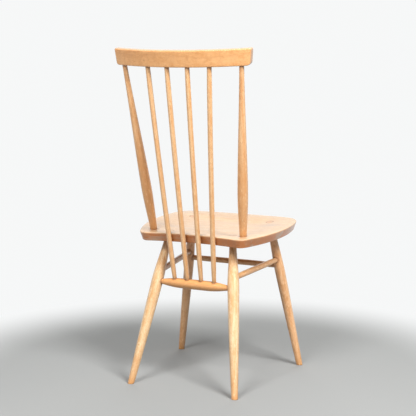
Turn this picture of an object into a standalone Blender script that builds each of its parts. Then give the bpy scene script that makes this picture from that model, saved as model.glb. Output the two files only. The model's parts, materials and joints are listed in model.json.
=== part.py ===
"""Spindle-back side chair: dished seat, turned legs wedged through it, curved crest rail.

Metres, +Z up. The sitter faces -Y and has +X on the left. The origin is on the floor under
the middle of the chair. Every joint is a round tenon in a bored socket with the gap FIT.
"""

import math

import bpy
import bmesh
import numpy as np
from mathutils import Vector

# Fit and fineness
FIT = 0.0003              # gap left between a tenon and its socket, all round and at the end
LEG_SIDES = 24
POST_SIDES = 20
SPINDLE_SIDES = 16
SHARP_ANGLE = math.radians(35)
ARRIS_ANGLES = (math.radians(30), math.radians(60), math.radians(90))
CUTTER_REACH = 0.030      # how far a cutter stands out of the surface that it cuts

# Seat board
SEAT_HEIGHT = 0.4416      # top plane above the floor, at the back posts
SEAT_PITCH = 0.048        # rise of the top plane for each metre towards the front
SEAT_THICKNESS = 0.026
SEAT_REAR_HOLLOW = 0.0175  # how much further back the rear edge lies at its shoulders
SEAT_SHOULDER_X = 0.150   # where the rear edge turns into the corner
REAR_EDGE_POWER = 2.4     # how late the rear edge swings back to its shoulders
SEAT_REAR_CORNER_X = 0.160
SEAT_FRONT_CORNER_X = 0.194
SEAT_FRONT_CORNER_Y = -0.2108
SEAT_FRONT_BOW = 0.008
SEAT_SIDE_BOW = 0.0385
SEAT_REAR_CORNER_TRIM = 0.026
SEAT_FRONT_CORNER_TRIM = 0.046
SEAT_UNDERCUT = 0.007     # how far the lower edge lies inside the upper one
SEAT_TOP_ARRIS = 0.0022
SEAT_LOWER_ARRIS = 0.0035
DISH_DEPTH = 0.009
DISH_CENTRE_Y = -0.0458
DISH_START = 0.87         # share of the way from centre to rim where the hollow begins
DISH_FLOOR = 0.45         # share of the way where it reaches its full depth
DISH_SHARES = (0.16, 0.32, 0.45, 0.54, 0.62, 0.70, 0.78, 0.87, 1.0)
SPINDLE_SEAT_GAP = 0.0006  # between the rear edge and the outer spindles
GAP_ROUNDS = 3            # times the gap is worked out again at the edge's new place
REAR_EDGE_POINTS = 9
SIDE_POINTS = 9
FRONT_HALF_POINTS = 8
REAR_CORNER_STEPS = 7
FRONT_CORNER_STEPS = 8

# Legs: foot and seat ends of each axis, then the turned profile
REAR_FOOT_X, REAR_FOOT_Y = 0.1662, 0.1827
FRONT_FOOT_X, FRONT_FOOT_Y = 0.2048, -0.2091
REAR_TENON_X, REAR_TENON_Y = 0.1002, 0.0550
FRONT_TENON_X, FRONT_TENON_Y = 0.1283, -0.1456
LEG_FOOT_D = 0.0190
REAR_LEG_BELLY_D = 0.0338
FRONT_LEG_BELLY_D = 0.0304
LEG_BELLY_Z = 0.295
REAR_LEG_NECK_D = 0.0208
FRONT_LEG_NECK_D = 0.0222
LEG_TENON_D = 0.0190
LEG_FOOT_CHAMFER = 0.0015
WEDGE_THICKNESS = 0.0020
WEDGE_DEPTH = 0.016
LEG_LOWER_SHARES = (0.14, 0.3, 0.46, 0.62, 0.77, 0.89, 1.0)
LEG_UPPER_SHARES = (0.2, 0.42, 0.64, 0.84)

# Back posts
POST_BASE_X, POST_BASE_Y = 0.1435, 0.0787
POST_TOP_X = 0.1800
POST_BASE_D = 0.0205
POST_BELLY_D = 0.0298
POST_BELLY_AT = 0.26      # share of the way up from seat to rail
POST_TOP_D = 0.0135
POST_SEAT_DEPTH = 0.018
POST_RAIL_DEPTH = 0.026
POST_SWELL_POWER = 1.3    # above 1 the swelling starts slowly at the seat
POST_TAPER_EASE = 0.6     # 0 tapers straight to the rail, 1 along an S curve
POST_LOWER_SHARES = (0.25, 0.5, 0.75, 1.0)
POST_UPPER_SHARES = (0.14, 0.28, 0.44, 0.6, 0.76, 0.9, 1.0)

# Crest rail, bent to an arc and raked back with the posts
RAIL_MID_Y = 0.2022
RAIL_MID_Z = 0.9145       # middle of the underside
RAIL_RADIUS = 0.558
RAIL_RAKE = math.radians(9.11)
RAIL_HALF_SPAN = 0.2103
RAIL_HEIGHT = 0.0461
RAIL_THICKNESS = 0.020
RAIL_END_SLANT = 0.0050
RAIL_END_TURN = math.radians(15)  # the ends are cut nearer to fore and aft than square
RAIL_LOWER_CORNER = 0.011
RAIL_UPPER_CORNER = 0.005
RAIL_TOP_ROUND = 0.0040
RAIL_BOTTOM_ROUND = 0.0025
RAIL_END_ROUND = 0.0055
RAIL_CORNER_SHARES = (0, 0.05, 0.18, 0.32, 0.50, 0.72, 1.0)
RAIL_HALF_STATIONS = 10

# Spindles, bowed backward, from the rear stretcher to the rail
SPINDLE_TOP_XS = (0.0312, 0.0945)
SPINDLE_FOOT_XS = (0.0217, 0.0626)
SPINDLE_BOW = 0.0037
SPINDLE_D = 0.0143
SPINDLE_TOP_D = 0.0132
SPINDLE_FOOT_D = 0.0118
SPINDLE_TAPER = 0.070     # length over which each end narrows
SPINDLE_RAIL_DEPTH = 0.020
SPINDLE_STRETCHER_DEPTH = 0.018
SPINDLE_RINGS = 15

# Stretchers: axis heights on the legs, and the turned profiles
REAR_STRETCHER_Z = 0.2925
SIDE_STRETCHER_REAR_Z = 0.3209
SIDE_STRETCHER_FRONT_Z = 0.3334
FRONT_STRETCHER_Z = 0.3148
REAR_STRETCHER_D = 0.0286
REAR_STRETCHER_END_D = 0.0150
STRETCHER_D = 0.0175
STRETCHER_END_D = 0.0158
STRETCHER_SWELL = 0.30        # share of the length over which each end grows to full size
STRETCHER_PAST_AXIS = 0.004   # how far a tenon reaches past the middle of the leg
STRETCHER_SHARES = (0.12, 0.3, 0.7, 0.88)
REAR_STRETCHER_SHARES = (0.04, 0.09, 0.15, 0.22, 0.3, 0.7, 0.78, 0.85, 0.91, 0.96)

UP = Vector((0, 0, 1))
ACROSS = Vector((1, 0, 0))


# Small helpers

def smooth(t):
    """An S curve from 0 to 1, flat at both ends."""
    t = min(max(t, 0.0), 1.0)
    return t * t * (3 - 2 * t)


def mix(a, b, t):
    return a + (b - a) * t


def clear_scene():
    for obj in list(bpy.data.objects):
        bpy.data.objects.remove(obj, do_unlink=True)


def wood(name, colour, roughness):
    material = bpy.data.materials.new(name)
    material.use_nodes = True
    shader = material.node_tree.nodes["Principled BSDF"]
    shader.inputs["Base Color"].default_value = (*colour, 1)
    shader.inputs["Roughness"].default_value = roughness
    shader.inputs["Metallic"].default_value = 0.0
    return material


def add_object(name, verts, faces, material=None, guide=False):
    """One mesh object, shaded smooth but for its sharp edges; a guide only cuts others."""
    mesh = bpy.data.meshes.new(name)
    mesh.from_pydata([tuple(v) for v in verts], [], faces)
    work = bmesh.new()
    work.from_mesh(mesh)
    bmesh.ops.recalc_face_normals(work, faces=work.faces)
    work.to_mesh(mesh)
    work.free()
    mesh.shade_smooth()
    mesh.set_sharp_from_angle(angle=SHARP_ANGLE)
    obj = bpy.data.objects.new(name, mesh)
    bpy.context.scene.collection.objects.link(obj)
    if material:
        mesh.materials.append(material)
    if guide:
        obj.hide_render = True
        obj.display_type = "WIRE"
    return obj


def cut(obj, cutter):
    modifier = obj.modifiers.new("Cut " + cutter.name, "BOOLEAN")
    modifier.operation = "DIFFERENCE"
    modifier.solver = "EXACT"
    modifier.object = cutter


def ring_faces(rings, sides):
    """Quads between following rings of equal length, and a cap at each end."""
    faces = [tuple(range(sides))]
    for ring in range(rings - 1):
        a = ring * sides
        for k in range(sides):
            n = (k + 1) % sides
            faces.append((a + k, a + n, a + sides + n, a + sides + k))
    last = (rings - 1) * sides
    faces.append(tuple(range(last + sides - 1, last - 1, -1)))
    return faces


def turned(name, path, radii, sides, material=None, ends=(None, None), guide=False):
    """A round piece along a path; an end plane's normal mitres the two rings at that end."""
    verts = []
    last = len(path) - 1
    for i, centre in enumerate(path):
        along = (path[min(i + 1, last)] - path[max(i - 1, 0)]).normalized()
        side = UP.cross(along)
        if side.length < 0.5:
            side = ACROSS - along * along.dot(ACROSS)
        side.normalize()
        other = along.cross(side)
        plane = ends[0] if i in (0, 1) else ends[1] if i in (last - 1, last) else None
        for k in range(sides):
            turn = 2 * math.pi * k / sides
            spoke = (side * math.cos(turn) + other * math.sin(turn)) * radii[i]
            if plane:
                spoke = spoke - along * (spoke.dot(plane) / along.dot(plane))
            verts.append(centre + spoke)
    return add_object(name, verts, ring_faces(len(path), sides), material, guide)


def straight(start, end, distances):
    """Points at these distances along the line from start to end."""
    along = (end - start).normalized()
    return [start + along * d for d in distances]


def bore(name, mouth, inward, depth, diameter, sides, reach=CUTTER_REACH):
    """A round cutter that goes depth into a piece from its mouth, and stands out of it."""
    inward = inward.normalized()
    path = [mouth - inward * reach, mouth + inward * depth]
    radius = diameter / 2 / math.cos(math.pi / sides) + FIT
    return turned(name, path, [radius, radius], sides, guide=True)


# Seat

def seat_top(y):
    """Height of the seat's top plane at this depth."""
    return SEAT_HEIGHT + SEAT_PITCH * (POST_BASE_Y - y)


def seat_normal():
    return Vector((0, SEAT_PITCH, 1)).normalized()


def line_at_height(start, end, z):
    return start.lerp(end, (z - start.z) / (end.z - start.z))


def axis_below_seat(foot, head, drop):
    """Where a leg's axis lies this far below the seat's top plane."""
    rise = head - foot
    share = (seat_top(foot.y) - drop - foot.z) / (rise.z + SEAT_PITCH * rise.y)
    return foot + rise * share


def leg_axis(side, rear):
    """Foot and seat-top points of one leg's axis."""
    if rear:
        foot = Vector((side * REAR_FOOT_X, REAR_FOOT_Y, 0))
        head = Vector((side * REAR_TENON_X, REAR_TENON_Y, seat_top(REAR_TENON_Y)))
    else:
        foot = Vector((side * FRONT_FOOT_X, FRONT_FOOT_Y, 0))
        head = Vector((side * FRONT_TENON_X, FRONT_TENON_Y, seat_top(FRONT_TENON_Y)))
    return foot, head


def rail_point(x, back, up):
    """A point of the rail from its distance across, behind its middle arc and up its face."""
    turn = math.asin(x / RAIL_RADIUS)
    out = RAIL_RADIUS * (math.cos(turn) - 1) + back * math.cos(turn)
    return Vector((
        x + back * math.sin(turn),
        RAIL_MID_Y + out * math.cos(RAIL_RAKE) + up * math.sin(RAIL_RAKE),
        RAIL_MID_Z - out * math.sin(RAIL_RAKE) + up * math.cos(RAIL_RAKE),
    ))


def spindle_ends(index, side):
    """Where a spindle's axis meets the rear stretcher's axis and the rail's underside."""
    foot, head = leg_axis(side, rear=True)
    on_leg = line_at_height(foot, head, REAR_STRETCHER_Z)
    low = Vector((side * SPINDLE_FOOT_XS[index], on_leg.y, REAR_STRETCHER_Z))
    return low, rail_point(side * SPINDLE_TOP_XS[index], 0, 0)


def spindle_point(low, high, t):
    """A point of the bowed axis, which lies furthest back half-way up."""
    return low.lerp(high, t) + Vector((0, SPINDLE_BOW * 4 * t * (1 - t), 0))


def seat_rear_middle():
    """The rear edge's middle, set forward of the outer spindles by their gap."""
    low, high = spindle_ends(len(SPINDLE_TOP_XS) - 1, 1)
    rise = high.z - low.z
    front = high.y
    for _ in range(GAP_ROUNDS):
        axis = spindle_point(low, high, (seat_top(front) - low.z) / rise)
        front = axis.y - SPINDLE_D / 2 * (high - low).length / rise
    hollow = SEAT_REAR_HOLLOW * (axis.x / SEAT_SHOULDER_X) ** REAR_EDGE_POWER
    return front - SPINDLE_SEAT_GAP - hollow


def rear_edge(x):
    return seat_rear_middle() + SEAT_REAR_HOLLOW * (abs(x) / SEAT_SHOULDER_X) ** REAR_EDGE_POWER


def bowed(a, b, bow, t):
    """A point on the shallow arc from a to b that stands bow out to its left."""
    chord = b - a
    out = np.array([chord[1], -chord[0]]) / np.linalg.norm(chord)
    return a + chord * t - out * bow * 4 * t * (1 - t)


def corner(a, middle, b, steps):
    """A rounded corner: a quadratic curve from a to b, drawn towards the middle point."""
    points = []
    for k in range(1, steps):
        t = k / steps
        points.append(a * (1 - t) ** 2 + middle * 2 * t * (1 - t) + b * t ** 2)
    return points


def half_outline():
    """The seat's edge seen from above, from the middle of the back to that of the front."""
    rear_corner = np.array([SEAT_REAR_CORNER_X, rear_edge(SEAT_REAR_CORNER_X)])
    front_corner = np.array([SEAT_FRONT_CORNER_X, SEAT_FRONT_CORNER_Y])
    side_length = np.linalg.norm(front_corner - rear_corner)
    first = SEAT_REAR_CORNER_TRIM / side_length
    last = 1 - SEAT_FRONT_CORNER_TRIM / side_length
    rear_xs = np.linspace(0, SEAT_REAR_CORNER_X - SEAT_REAR_CORNER_TRIM, REAR_EDGE_POINTS)
    rear = [np.array([x, rear_edge(x)]) for x in rear_xs]
    side_ts = np.linspace(first, last, SIDE_POINTS)
    side = [bowed(rear_corner, front_corner, SEAT_SIDE_BOW, t) for t in side_ts]
    far = 2 * SEAT_FRONT_CORNER_X
    mirrored = np.array([-SEAT_FRONT_CORNER_X, SEAT_FRONT_CORNER_Y])
    front_ts = np.linspace(SEAT_FRONT_CORNER_TRIM / far, 0.5, FRONT_HALF_POINTS)
    front = [bowed(front_corner, mirrored, SEAT_FRONT_BOW, t) for t in front_ts]
    return (rear + corner(rear[-1], rear_corner, side[0], REAR_CORNER_STEPS) + side
            + corner(side[-1], front_corner, front[0], FRONT_CORNER_STEPS) + front)


def seat_outline():
    half = half_outline()
    other = [np.array([-x, y]) for x, y in half[-2:0:-1]]
    return np.array(half + other)


def inset(outline, distance):
    """The outline moved inward by a distance at right angles to its edge."""
    along = np.roll(outline, -1, axis=0) - np.roll(outline, 1, axis=0)
    inward = np.stack([along[:, 1], -along[:, 0]], axis=1)
    inward /= np.linalg.norm(inward, axis=1)[:, None]
    centre = np.array([0, DISH_CENTRE_Y])
    outwards = np.sum(inward * (centre - outline), axis=1) < 0
    inward[outwards] *= -1
    return outline + inward * distance


def dish(share):
    """Depth of the hollow at a share of the way from the dish's centre to the rim."""
    return DISH_DEPTH * smooth((DISH_START - share) / (DISH_START - DISH_FLOOR))


def top_rings(rim):
    """The rings of the dished top, from the innermost to the rim."""
    centre = np.array([0, DISH_CENTRE_Y])
    rings = []
    for share in DISH_SHARES:
        flat = centre + (rim - centre) * share
        rings.append([(x, y, seat_top(y) - dish(share)) for x, y in flat])
    return rings


def level_ring(outline, drop):
    """A ring that lies this far below the seat's top plane."""
    return [(x, y, seat_top(y) - drop) for x, y in outline]


def pole_solid(name, rings, pole, material=None, guide=False):
    """A closed solid of rings, with a fan to the pole at the first and a flat cap at the last."""
    count = len(rings[0])
    verts = [p for ring in rings for p in ring] + [pole]
    faces = ring_faces(len(rings), count)[1:]
    faces += [(len(verts) - 1, (k + 1) % count, k) for k in range(count)]
    return add_object(name, verts, faces, material, guide)


def arris_rings(outline, radius, start_inset, drop, lower):
    """The rings that round an edge over a quarter turn."""
    rings = []
    for angle in ARRIS_ANGLES:
        if lower:
            move = start_inset + radius * (1 - math.cos(angle))
            fall = drop - radius * (1 - math.sin(angle))
        else:
            move = start_inset + radius * (1 - math.sin(angle))
            fall = drop + radius * (1 - math.cos(angle))
        rings.append(level_ring(inset(outline, move), fall))
    return rings


def make_seat(material):
    outline = seat_outline()
    rim = inset(outline, SEAT_TOP_ARRIS)
    rings = top_rings(rim)
    rings += arris_rings(outline, SEAT_TOP_ARRIS, 0, 0, lower=False)
    rings.append(level_ring(inset(outline, SEAT_UNDERCUT), SEAT_THICKNESS - SEAT_LOWER_ARRIS))
    rings += arris_rings(outline, SEAT_LOWER_ARRIS, SEAT_UNDERCUT, SEAT_THICKNESS, lower=True)
    pole = (0, DISH_CENTRE_Y, seat_top(DISH_CENTRE_Y) - DISH_DEPTH)
    return pole_solid("seat", rings, pole, material)


def make_space_above_seat():
    """A guide that trims the leg tenons and wedges flush with the dished top."""
    rings = top_rings(inset(seat_outline(), SEAT_TOP_ARRIS))
    rings.append([(x, y, z + CUTTER_REACH) for x, y, z in rings[-1]])
    pole = (0, DISH_CENTRE_Y, seat_top(DISH_CENTRE_Y) - DISH_DEPTH)
    return pole_solid("space_above_seat", rings, pole, guide=True)


# Legs and their wedges

def swell(share):
    """A turned swelling from 0 to 1, half straight taper and half sine."""
    return (share + math.sin(share * math.pi / 2)) / 2


def make_leg(name, side, rear, seat, above, material):
    foot, head = leg_axis(side, rear)
    belly_d = REAR_LEG_BELLY_D if rear else FRONT_LEG_BELLY_D
    neck_d = REAR_LEG_NECK_D if rear else FRONT_LEG_NECK_D
    along = (head - foot).normalized()
    up_rate = along.z
    shoulder = (axis_below_seat(foot, head, SEAT_THICKNESS + FIT) - foot).length
    belly = LEG_BELLY_Z / up_rate
    distances = [0, LEG_FOOT_CHAMFER / up_rate]
    radii = [LEG_FOOT_D / 2 - LEG_FOOT_CHAMFER, LEG_FOOT_D / 2]
    for share in LEG_LOWER_SHARES:
        distances.append(belly * share)
        radii.append(mix(LEG_FOOT_D, belly_d, swell(share)) / 2)
    for share in LEG_UPPER_SHARES:
        distances.append(mix(belly, shoulder, share))
        radii.append(mix(belly_d, neck_d, smooth(share)) / 2)
    body = turned(name, straight(foot, head, distances + [shoulder]), radii + [neck_d / 2],
                  LEG_SIDES, material, ends=(UP, seat_normal()))
    tenon_end = (head - foot).length + CUTTER_REACH / 2
    tenon = turned(name + "_tenon", straight(foot, head, [distances[-1], tenon_end]),
                   [LEG_TENON_D / 2] * 2, LEG_SIDES, guide=True)
    joined = body.modifiers.new("Tenon", "BOOLEAN")
    joined.operation = "UNION"
    joined.solver = "EXACT"
    joined.object = tenon
    cut(body, above)
    kerf_half = Vector((WEDGE_THICKNESS / 2 + FIT, LEG_TENON_D, WEDGE_DEPTH + FIT))
    cut(body, wedge_block(name + "_kerf", foot, head, kerf_half, guide=True))
    mortise_d = LEG_TENON_D * math.cos(math.pi / LEG_SIDES)
    mouth = axis_below_seat(foot, head, SEAT_THICKNESS)
    cut(seat, bore(name + "_mortise", mouth, along, SEAT_THICKNESS + CUTTER_REACH, mortise_d,
                   LEG_SIDES))
    return body


def wedge_block(name, foot, head, half, material=None, guide=False):
    """A thin block in the leg's axis that stands across the seat's grain; half.z is its depth."""
    along = (head - foot).normalized()
    across = (ACROSS - along * along.dot(ACROSS)).normalized()
    depthways = along.cross(across)
    low = head - along * half.z
    high = head + along * CUTTER_REACH / 2
    verts = []
    for end in (low, high):
        for a, b in ((-1, -1), (1, -1), (1, 1), (-1, 1)):
            verts.append(end + across * half.x * a + depthways * half.y * b)
    return add_object(name, verts, ring_faces(2, 4), material, guide)


def make_wedge(name, side, rear, above, material):
    foot, head = leg_axis(side, rear)
    radius = LEG_TENON_D / 2 * math.cos(math.pi / LEG_SIDES)
    half_width = math.sqrt(radius ** 2 - (WEDGE_THICKNESS / 2) ** 2)
    half = Vector((WEDGE_THICKNESS / 2, half_width, WEDGE_DEPTH))
    wedge = wedge_block(name, foot, head, half, material)
    cut(wedge, above)
    return wedge


# Stretchers

def socket_in_leg(leg, name, mouth, inward, diameter):
    depth = STRETCHER_PAST_AXIS + FIT
    cut(leg, bore(name, mouth, inward, depth, diameter, SPINDLE_SIDES, REAR_LEG_BELLY_D))


def make_stretcher(name, start, end, middle_d, end_d, sides, legs, material, shares):
    """A turned rail between two leg axes, with its tenons bored into both legs."""
    along = (end - start).normalized()
    low = start - along * STRETCHER_PAST_AXIS
    high = end + along * STRETCHER_PAST_AXIS
    length = (high - low).length
    inside = STRETCHER_PAST_AXIS + REAR_LEG_BELLY_D / 2
    distances, radii = [0, inside], [end_d / 2, end_d / 2]
    for share in shares:
        distances.append(mix(inside, length - inside, share))
        grown = min(min(share, 1 - share) / STRETCHER_SWELL, 1)
        radii.append(mix(end_d, middle_d, math.sin(grown * math.pi / 2)) / 2)
    distances += [length - inside, length]
    radii += [end_d / 2, end_d / 2]
    piece = turned(name, straight(low, high, distances), radii, sides, material)
    socket_in_leg(legs[0], name + "_socket_a", start, -along, end_d)
    socket_in_leg(legs[1], name + "_socket_b", end, along, end_d)
    return piece


# Back

def make_post(name, side, seat, rail, material):
    base = Vector((side * POST_BASE_X, POST_BASE_Y, SEAT_HEIGHT))
    top = rail_point(side * POST_TOP_X, 0, 0)
    along = (top - base).normalized()
    length = (top - base).length
    distances = [-POST_SEAT_DEPTH, 0]
    radii = [POST_BASE_D / 2, POST_BASE_D / 2]
    belly = length * POST_BELLY_AT
    for share in POST_LOWER_SHARES:
        distances.append(belly * share)
        grown = math.sin(share * math.pi / 2) ** POST_SWELL_POWER
        radii.append(mix(POST_BASE_D, POST_BELLY_D, grown) / 2)
    for share in POST_UPPER_SHARES:
        distances.append(mix(belly, length, share))
        narrowed = mix(share, smooth(share), POST_TAPER_EASE)
        radii.append(mix(POST_BELLY_D, POST_TOP_D, narrowed) / 2)
    distances.append(length + POST_RAIL_DEPTH)
    radii.append(POST_TOP_D / 2)
    post = turned(name, straight(base, top, distances), radii, POST_SIDES, material)
    cut(seat, bore(name + "_seat_socket", base, -along, POST_SEAT_DEPTH + FIT, POST_BASE_D,
                   POST_SIDES))
    cut(rail, bore(name + "_rail_socket", top, along, POST_RAIL_DEPTH + FIT, POST_TOP_D,
                   POST_SIDES))
    return post


def make_spindle(name, index, side, rail, stretcher, material):
    low, high = spindle_ends(index, side)
    length = (high - low).length
    first = -(SPINDLE_STRETCHER_DEPTH - REAR_STRETCHER_D / 2) / length
    last = 1 + SPINDLE_RAIL_DEPTH / length
    path, radii = [], []
    for share in np.linspace(0, 1, SPINDLE_RINGS):
        t = mix(first, last, float(share))
        path.append(spindle_point(low, high, t))
        to_foot = smooth(1 - t * length / SPINDLE_TAPER)
        to_top = smooth(1 - (1 - t) * length / SPINDLE_TAPER)
        width = SPINDLE_D - (SPINDLE_D - SPINDLE_FOOT_D) * to_foot
        radii.append((width - (SPINDLE_D - SPINDLE_TOP_D) * to_top) / 2)
    spindle = turned(name, path, radii, SPINDLE_SIDES, material)
    cut(rail, bore(name + "_rail_socket", high, path[-1] - path[-2], SPINDLE_RAIL_DEPTH + FIT,
                   SPINDLE_TOP_D, SPINDLE_SIDES))
    down = path[0] - path[1]
    cut(stretcher, bore(name + "_stretcher_socket", low, down,
                        SPINDLE_STRETCHER_DEPTH - REAR_STRETCHER_D / 2 + FIT, SPINDLE_FOOT_D,
                        SPINDLE_SIDES))
    return spindle


def rail_section():
    """The rail's upright section as (back, up) points, with four rounded edges."""
    half = RAIL_THICKNESS / 2
    corners = (
        (half, 0, RAIL_BOTTOM_ROUND, -90),
        (half, RAIL_HEIGHT, RAIL_TOP_ROUND, 0),
        (-half, RAIL_HEIGHT, RAIL_TOP_ROUND, 90),
        (-half, 0, RAIL_BOTTOM_ROUND, 180),
    )
    points = []
    for back, up, radius, start in corners:
        centre_back = back - math.copysign(radius, back)
        centre_up = up + radius if up == 0 else up - radius
        for step in (0, 30, 60, 90):
            turn = math.radians(start + step)
            points.append((centre_back + radius * math.cos(turn),
                           centre_up + radius * math.sin(turn)))
    return points


def round_over(distance, radius):
    """How far a rounded end has drawn in at this distance from it."""
    if distance >= radius:
        return 0.0
    return radius - math.sqrt(radius ** 2 - (radius - distance) ** 2)


def make_rail(material):
    section = rail_section()
    ends = [RAIL_LOWER_CORNER * share for share in RAIL_CORNER_SHARES]
    middle = np.linspace(RAIL_LOWER_CORNER, RAIL_HALF_SPAN, RAIL_HALF_STATIONS + 1)[1:]
    distances = ends + [float(d) for d in middle]
    stations = [(-1, d) for d in distances] + [(1, d) for d in distances[-2::-1]]
    verts = []
    for side, distance in stations:
        lift = round_over(distance, RAIL_LOWER_CORNER)
        drop = round_over(distance, RAIL_UPPER_CORNER)
        thin = 1 - round_over(distance, RAIL_END_ROUND) / (RAIL_THICKNESS / 2)
        for back, up in section:
            level = lift + up * (RAIL_HEIGHT - lift - drop) / RAIL_HEIGHT
            slant = RAIL_END_SLANT * (1 - level / RAIL_HEIGHT)
            skew = slant + back * thin * math.tan(RAIL_END_TURN)
            reach = (RAIL_HALF_SPAN - distance) * (1 - skew / RAIL_HALF_SPAN)
            verts.append(rail_point(side * reach, back * thin, level))
    return add_object("crest_rail", verts, ring_faces(len(stations), len(section)), material)


def main():
    clear_scene()
    beech = {
        "leg": ((0.80, 0.50, 0.25), 0.36),
        "stretcher": ((0.76, 0.46, 0.22), 0.38),
        "spindle": ((0.83, 0.54, 0.28), 0.36),
        "post": ((0.74, 0.42, 0.18), 0.34),
        "rail": ((0.82, 0.52, 0.27), 0.34),
        "wedge": ((0.45, 0.25, 0.11), 0.50),
    }

    def finish_of(kind, name):
        colour, roughness = beech[kind]
        return wood(name + "_wood", colour, roughness)

    seat = make_seat(wood("seat_wood", (0.84, 0.66, 0.46), 0.32))
    above = make_space_above_seat()
    legs = {}
    for side, hand in ((1, "left"), (-1, "right")):
        for rear, place in ((True, "rear"), (False, "front")):
            name = place + "_" + hand + "_leg"
            legs[hand, place] = make_leg(name, side, rear, seat, above, finish_of("leg", name))
            make_wedge(name + "_wedge", side, rear, above, finish_of("wedge", name + "_wedge"))

    def on_leg(side, rear, z):
        return line_at_height(*leg_axis(side, rear), z)

    for side, hand in ((1, "left"), (-1, "right")):
        name = "side_stretcher_" + hand
        make_stretcher(
            name, on_leg(side, True, SIDE_STRETCHER_REAR_Z),
            on_leg(side, False, SIDE_STRETCHER_FRONT_Z), STRETCHER_D, STRETCHER_END_D,
            SPINDLE_SIDES, (legs[hand, "rear"], legs[hand, "front"]),
            finish_of("stretcher", name), STRETCHER_SHARES)
    make_stretcher(
        "front_stretcher", on_leg(1, False, FRONT_STRETCHER_Z),
        on_leg(-1, False, FRONT_STRETCHER_Z), STRETCHER_D, STRETCHER_END_D, SPINDLE_SIDES,
        (legs["left", "front"], legs["right", "front"]),
        finish_of("stretcher", "front_stretcher"), STRETCHER_SHARES)
    rear_stretcher = make_stretcher(
        "rear_stretcher", on_leg(1, True, REAR_STRETCHER_Z), on_leg(-1, True, REAR_STRETCHER_Z),
        REAR_STRETCHER_D, REAR_STRETCHER_END_D, LEG_SIDES,
        (legs["left", "rear"], legs["right", "rear"]),
        finish_of("stretcher", "rear_stretcher"), REAR_STRETCHER_SHARES)

    rail = make_rail(finish_of("rail", "crest_rail"))
    for side, hand in ((1, "left"), (-1, "right")):
        make_post("back_post_" + hand, side, seat, rail, finish_of("post", "back_post_" + hand))
    spindles = ((1, 1, "spindle_1"), (0, 1, "spindle_2"), (0, -1, "spindle_3"), (1, -1, "spindle_4"))
    for index, side, name in spindles:
        make_spindle(name, index, side, rail, rear_stretcher, finish_of("spindle", name))


main()
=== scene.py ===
"""Spindle-back side chair in clear-finished wood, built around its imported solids.

The file is laid out as an add-on and run as a script. Lengths are in metres, +Z is up, the
sitter faces -Y and has +X on the left. Every piece carries a vector attribute named grain: its
place in the billet that it was cut from, as (across, across, along), with the pith on the line
where both of the first two are 0. The wood's pattern is solid, and reads that attribute.
"""

import json
import math

import bmesh
import bpy
import numpy as np
from bpy.props import FloatProperty, FloatVectorProperty, IntProperty, PointerProperty
from mathutils import Matrix, Vector

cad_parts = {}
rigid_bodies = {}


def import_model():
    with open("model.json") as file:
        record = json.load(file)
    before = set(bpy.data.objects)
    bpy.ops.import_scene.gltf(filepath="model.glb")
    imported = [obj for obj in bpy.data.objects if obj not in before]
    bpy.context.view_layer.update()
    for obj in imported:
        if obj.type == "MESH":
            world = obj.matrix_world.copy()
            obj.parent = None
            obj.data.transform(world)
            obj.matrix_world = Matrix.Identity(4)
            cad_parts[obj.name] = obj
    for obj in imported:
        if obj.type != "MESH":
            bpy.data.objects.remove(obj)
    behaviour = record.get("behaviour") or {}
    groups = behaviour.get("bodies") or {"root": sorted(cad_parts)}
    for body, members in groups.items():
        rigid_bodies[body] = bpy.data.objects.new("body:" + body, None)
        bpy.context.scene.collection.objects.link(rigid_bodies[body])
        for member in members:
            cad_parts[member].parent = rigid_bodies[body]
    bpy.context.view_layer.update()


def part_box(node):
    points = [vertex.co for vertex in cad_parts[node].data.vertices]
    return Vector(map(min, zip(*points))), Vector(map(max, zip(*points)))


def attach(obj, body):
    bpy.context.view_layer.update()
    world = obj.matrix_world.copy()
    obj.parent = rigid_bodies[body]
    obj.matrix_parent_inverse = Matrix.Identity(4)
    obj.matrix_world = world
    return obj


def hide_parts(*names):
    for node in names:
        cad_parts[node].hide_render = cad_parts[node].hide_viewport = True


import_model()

bl_info = {
    "name": "Spindle-Back Side Chair",
    "version": (1, 0, 0),
    "blender": (4, 5, 0),
    "location": "3D View > Sidebar > Chair",
    "description": "Builds a turned side chair with a dished seat, in clear-finished wood",
    "category": "Object",
}

BOX_SLACK = 0.0025        # how far a piece may depart from the box of its solid
SHARP_ANGLE = math.radians(40)
UP = np.array((0.0, 0.0, 1.0))
ACROSS = np.array((1.0, 0.0, 0.0))
HANDS = ((1, "left"), (-1, "right"))

# Fine sizes of the pieces

OUTLINE_POINTS = 480      # round the seat's edge
EDGE_RINGS = 6            # over a rounded edge
EDGE_ROUNDS = 3           # steps that settle the place of the seat's rear edge
DISH_ROUNDS = 4           # steps that lay a tenon's top on the dish
NECK_SHY = 0.0003         # a leg's neck ends this far below the seat
NECK_EASE = 0.012         # run over which its rings turn into the seat's plane
FOOT_EASE = 0.041         # run over which its rings turn out of the floor's plane
CAP_DEPTH = 0.011         # its tenon's straight part ends this far below the top plane
CAP_SHARES = np.array((1.0, 0.985, 0.95, 0.8, 0.6, 0.4, 0.2))    # of the tenon's radius
CAP_PROUD = np.array((-0.0004, -0.00005, 0.00012, 0.00012, 0.00012, 0.00012, 0.00012))
WEDGE_FIT = 0.985         # of the tenon's radius
WEDGE_SQUARENESS = np.array((0.35, 0.75))         # powers that square its rounded section
WEDGE_BODY_TOP = 0.010    # its straight part ends this far below the top plane
WEDGE_CAP_PLANE = 0.008   # its top is drawn this far below, and then laid on the dish
WEDGE_SHARES = np.array((1.0, 0.94, 0.6, 0.3))    # of its own section
WEDGE_PROUD = np.array((-0.0002, 0.00022, 0.00022, 0.00022))
TENON_LOW = 0.018         # of a post in the seat, and of a spindle in the rear stretcher
POST_TENON_HIGH = 0.026   # past the rail's underside
SPINDLE_TENON_HIGH = 0.020    # past the rail's underside
SEAT_IN_LOG = np.array((0.012, 0.085, 4.0))       # where the seat and the rail lay in their logs
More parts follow.
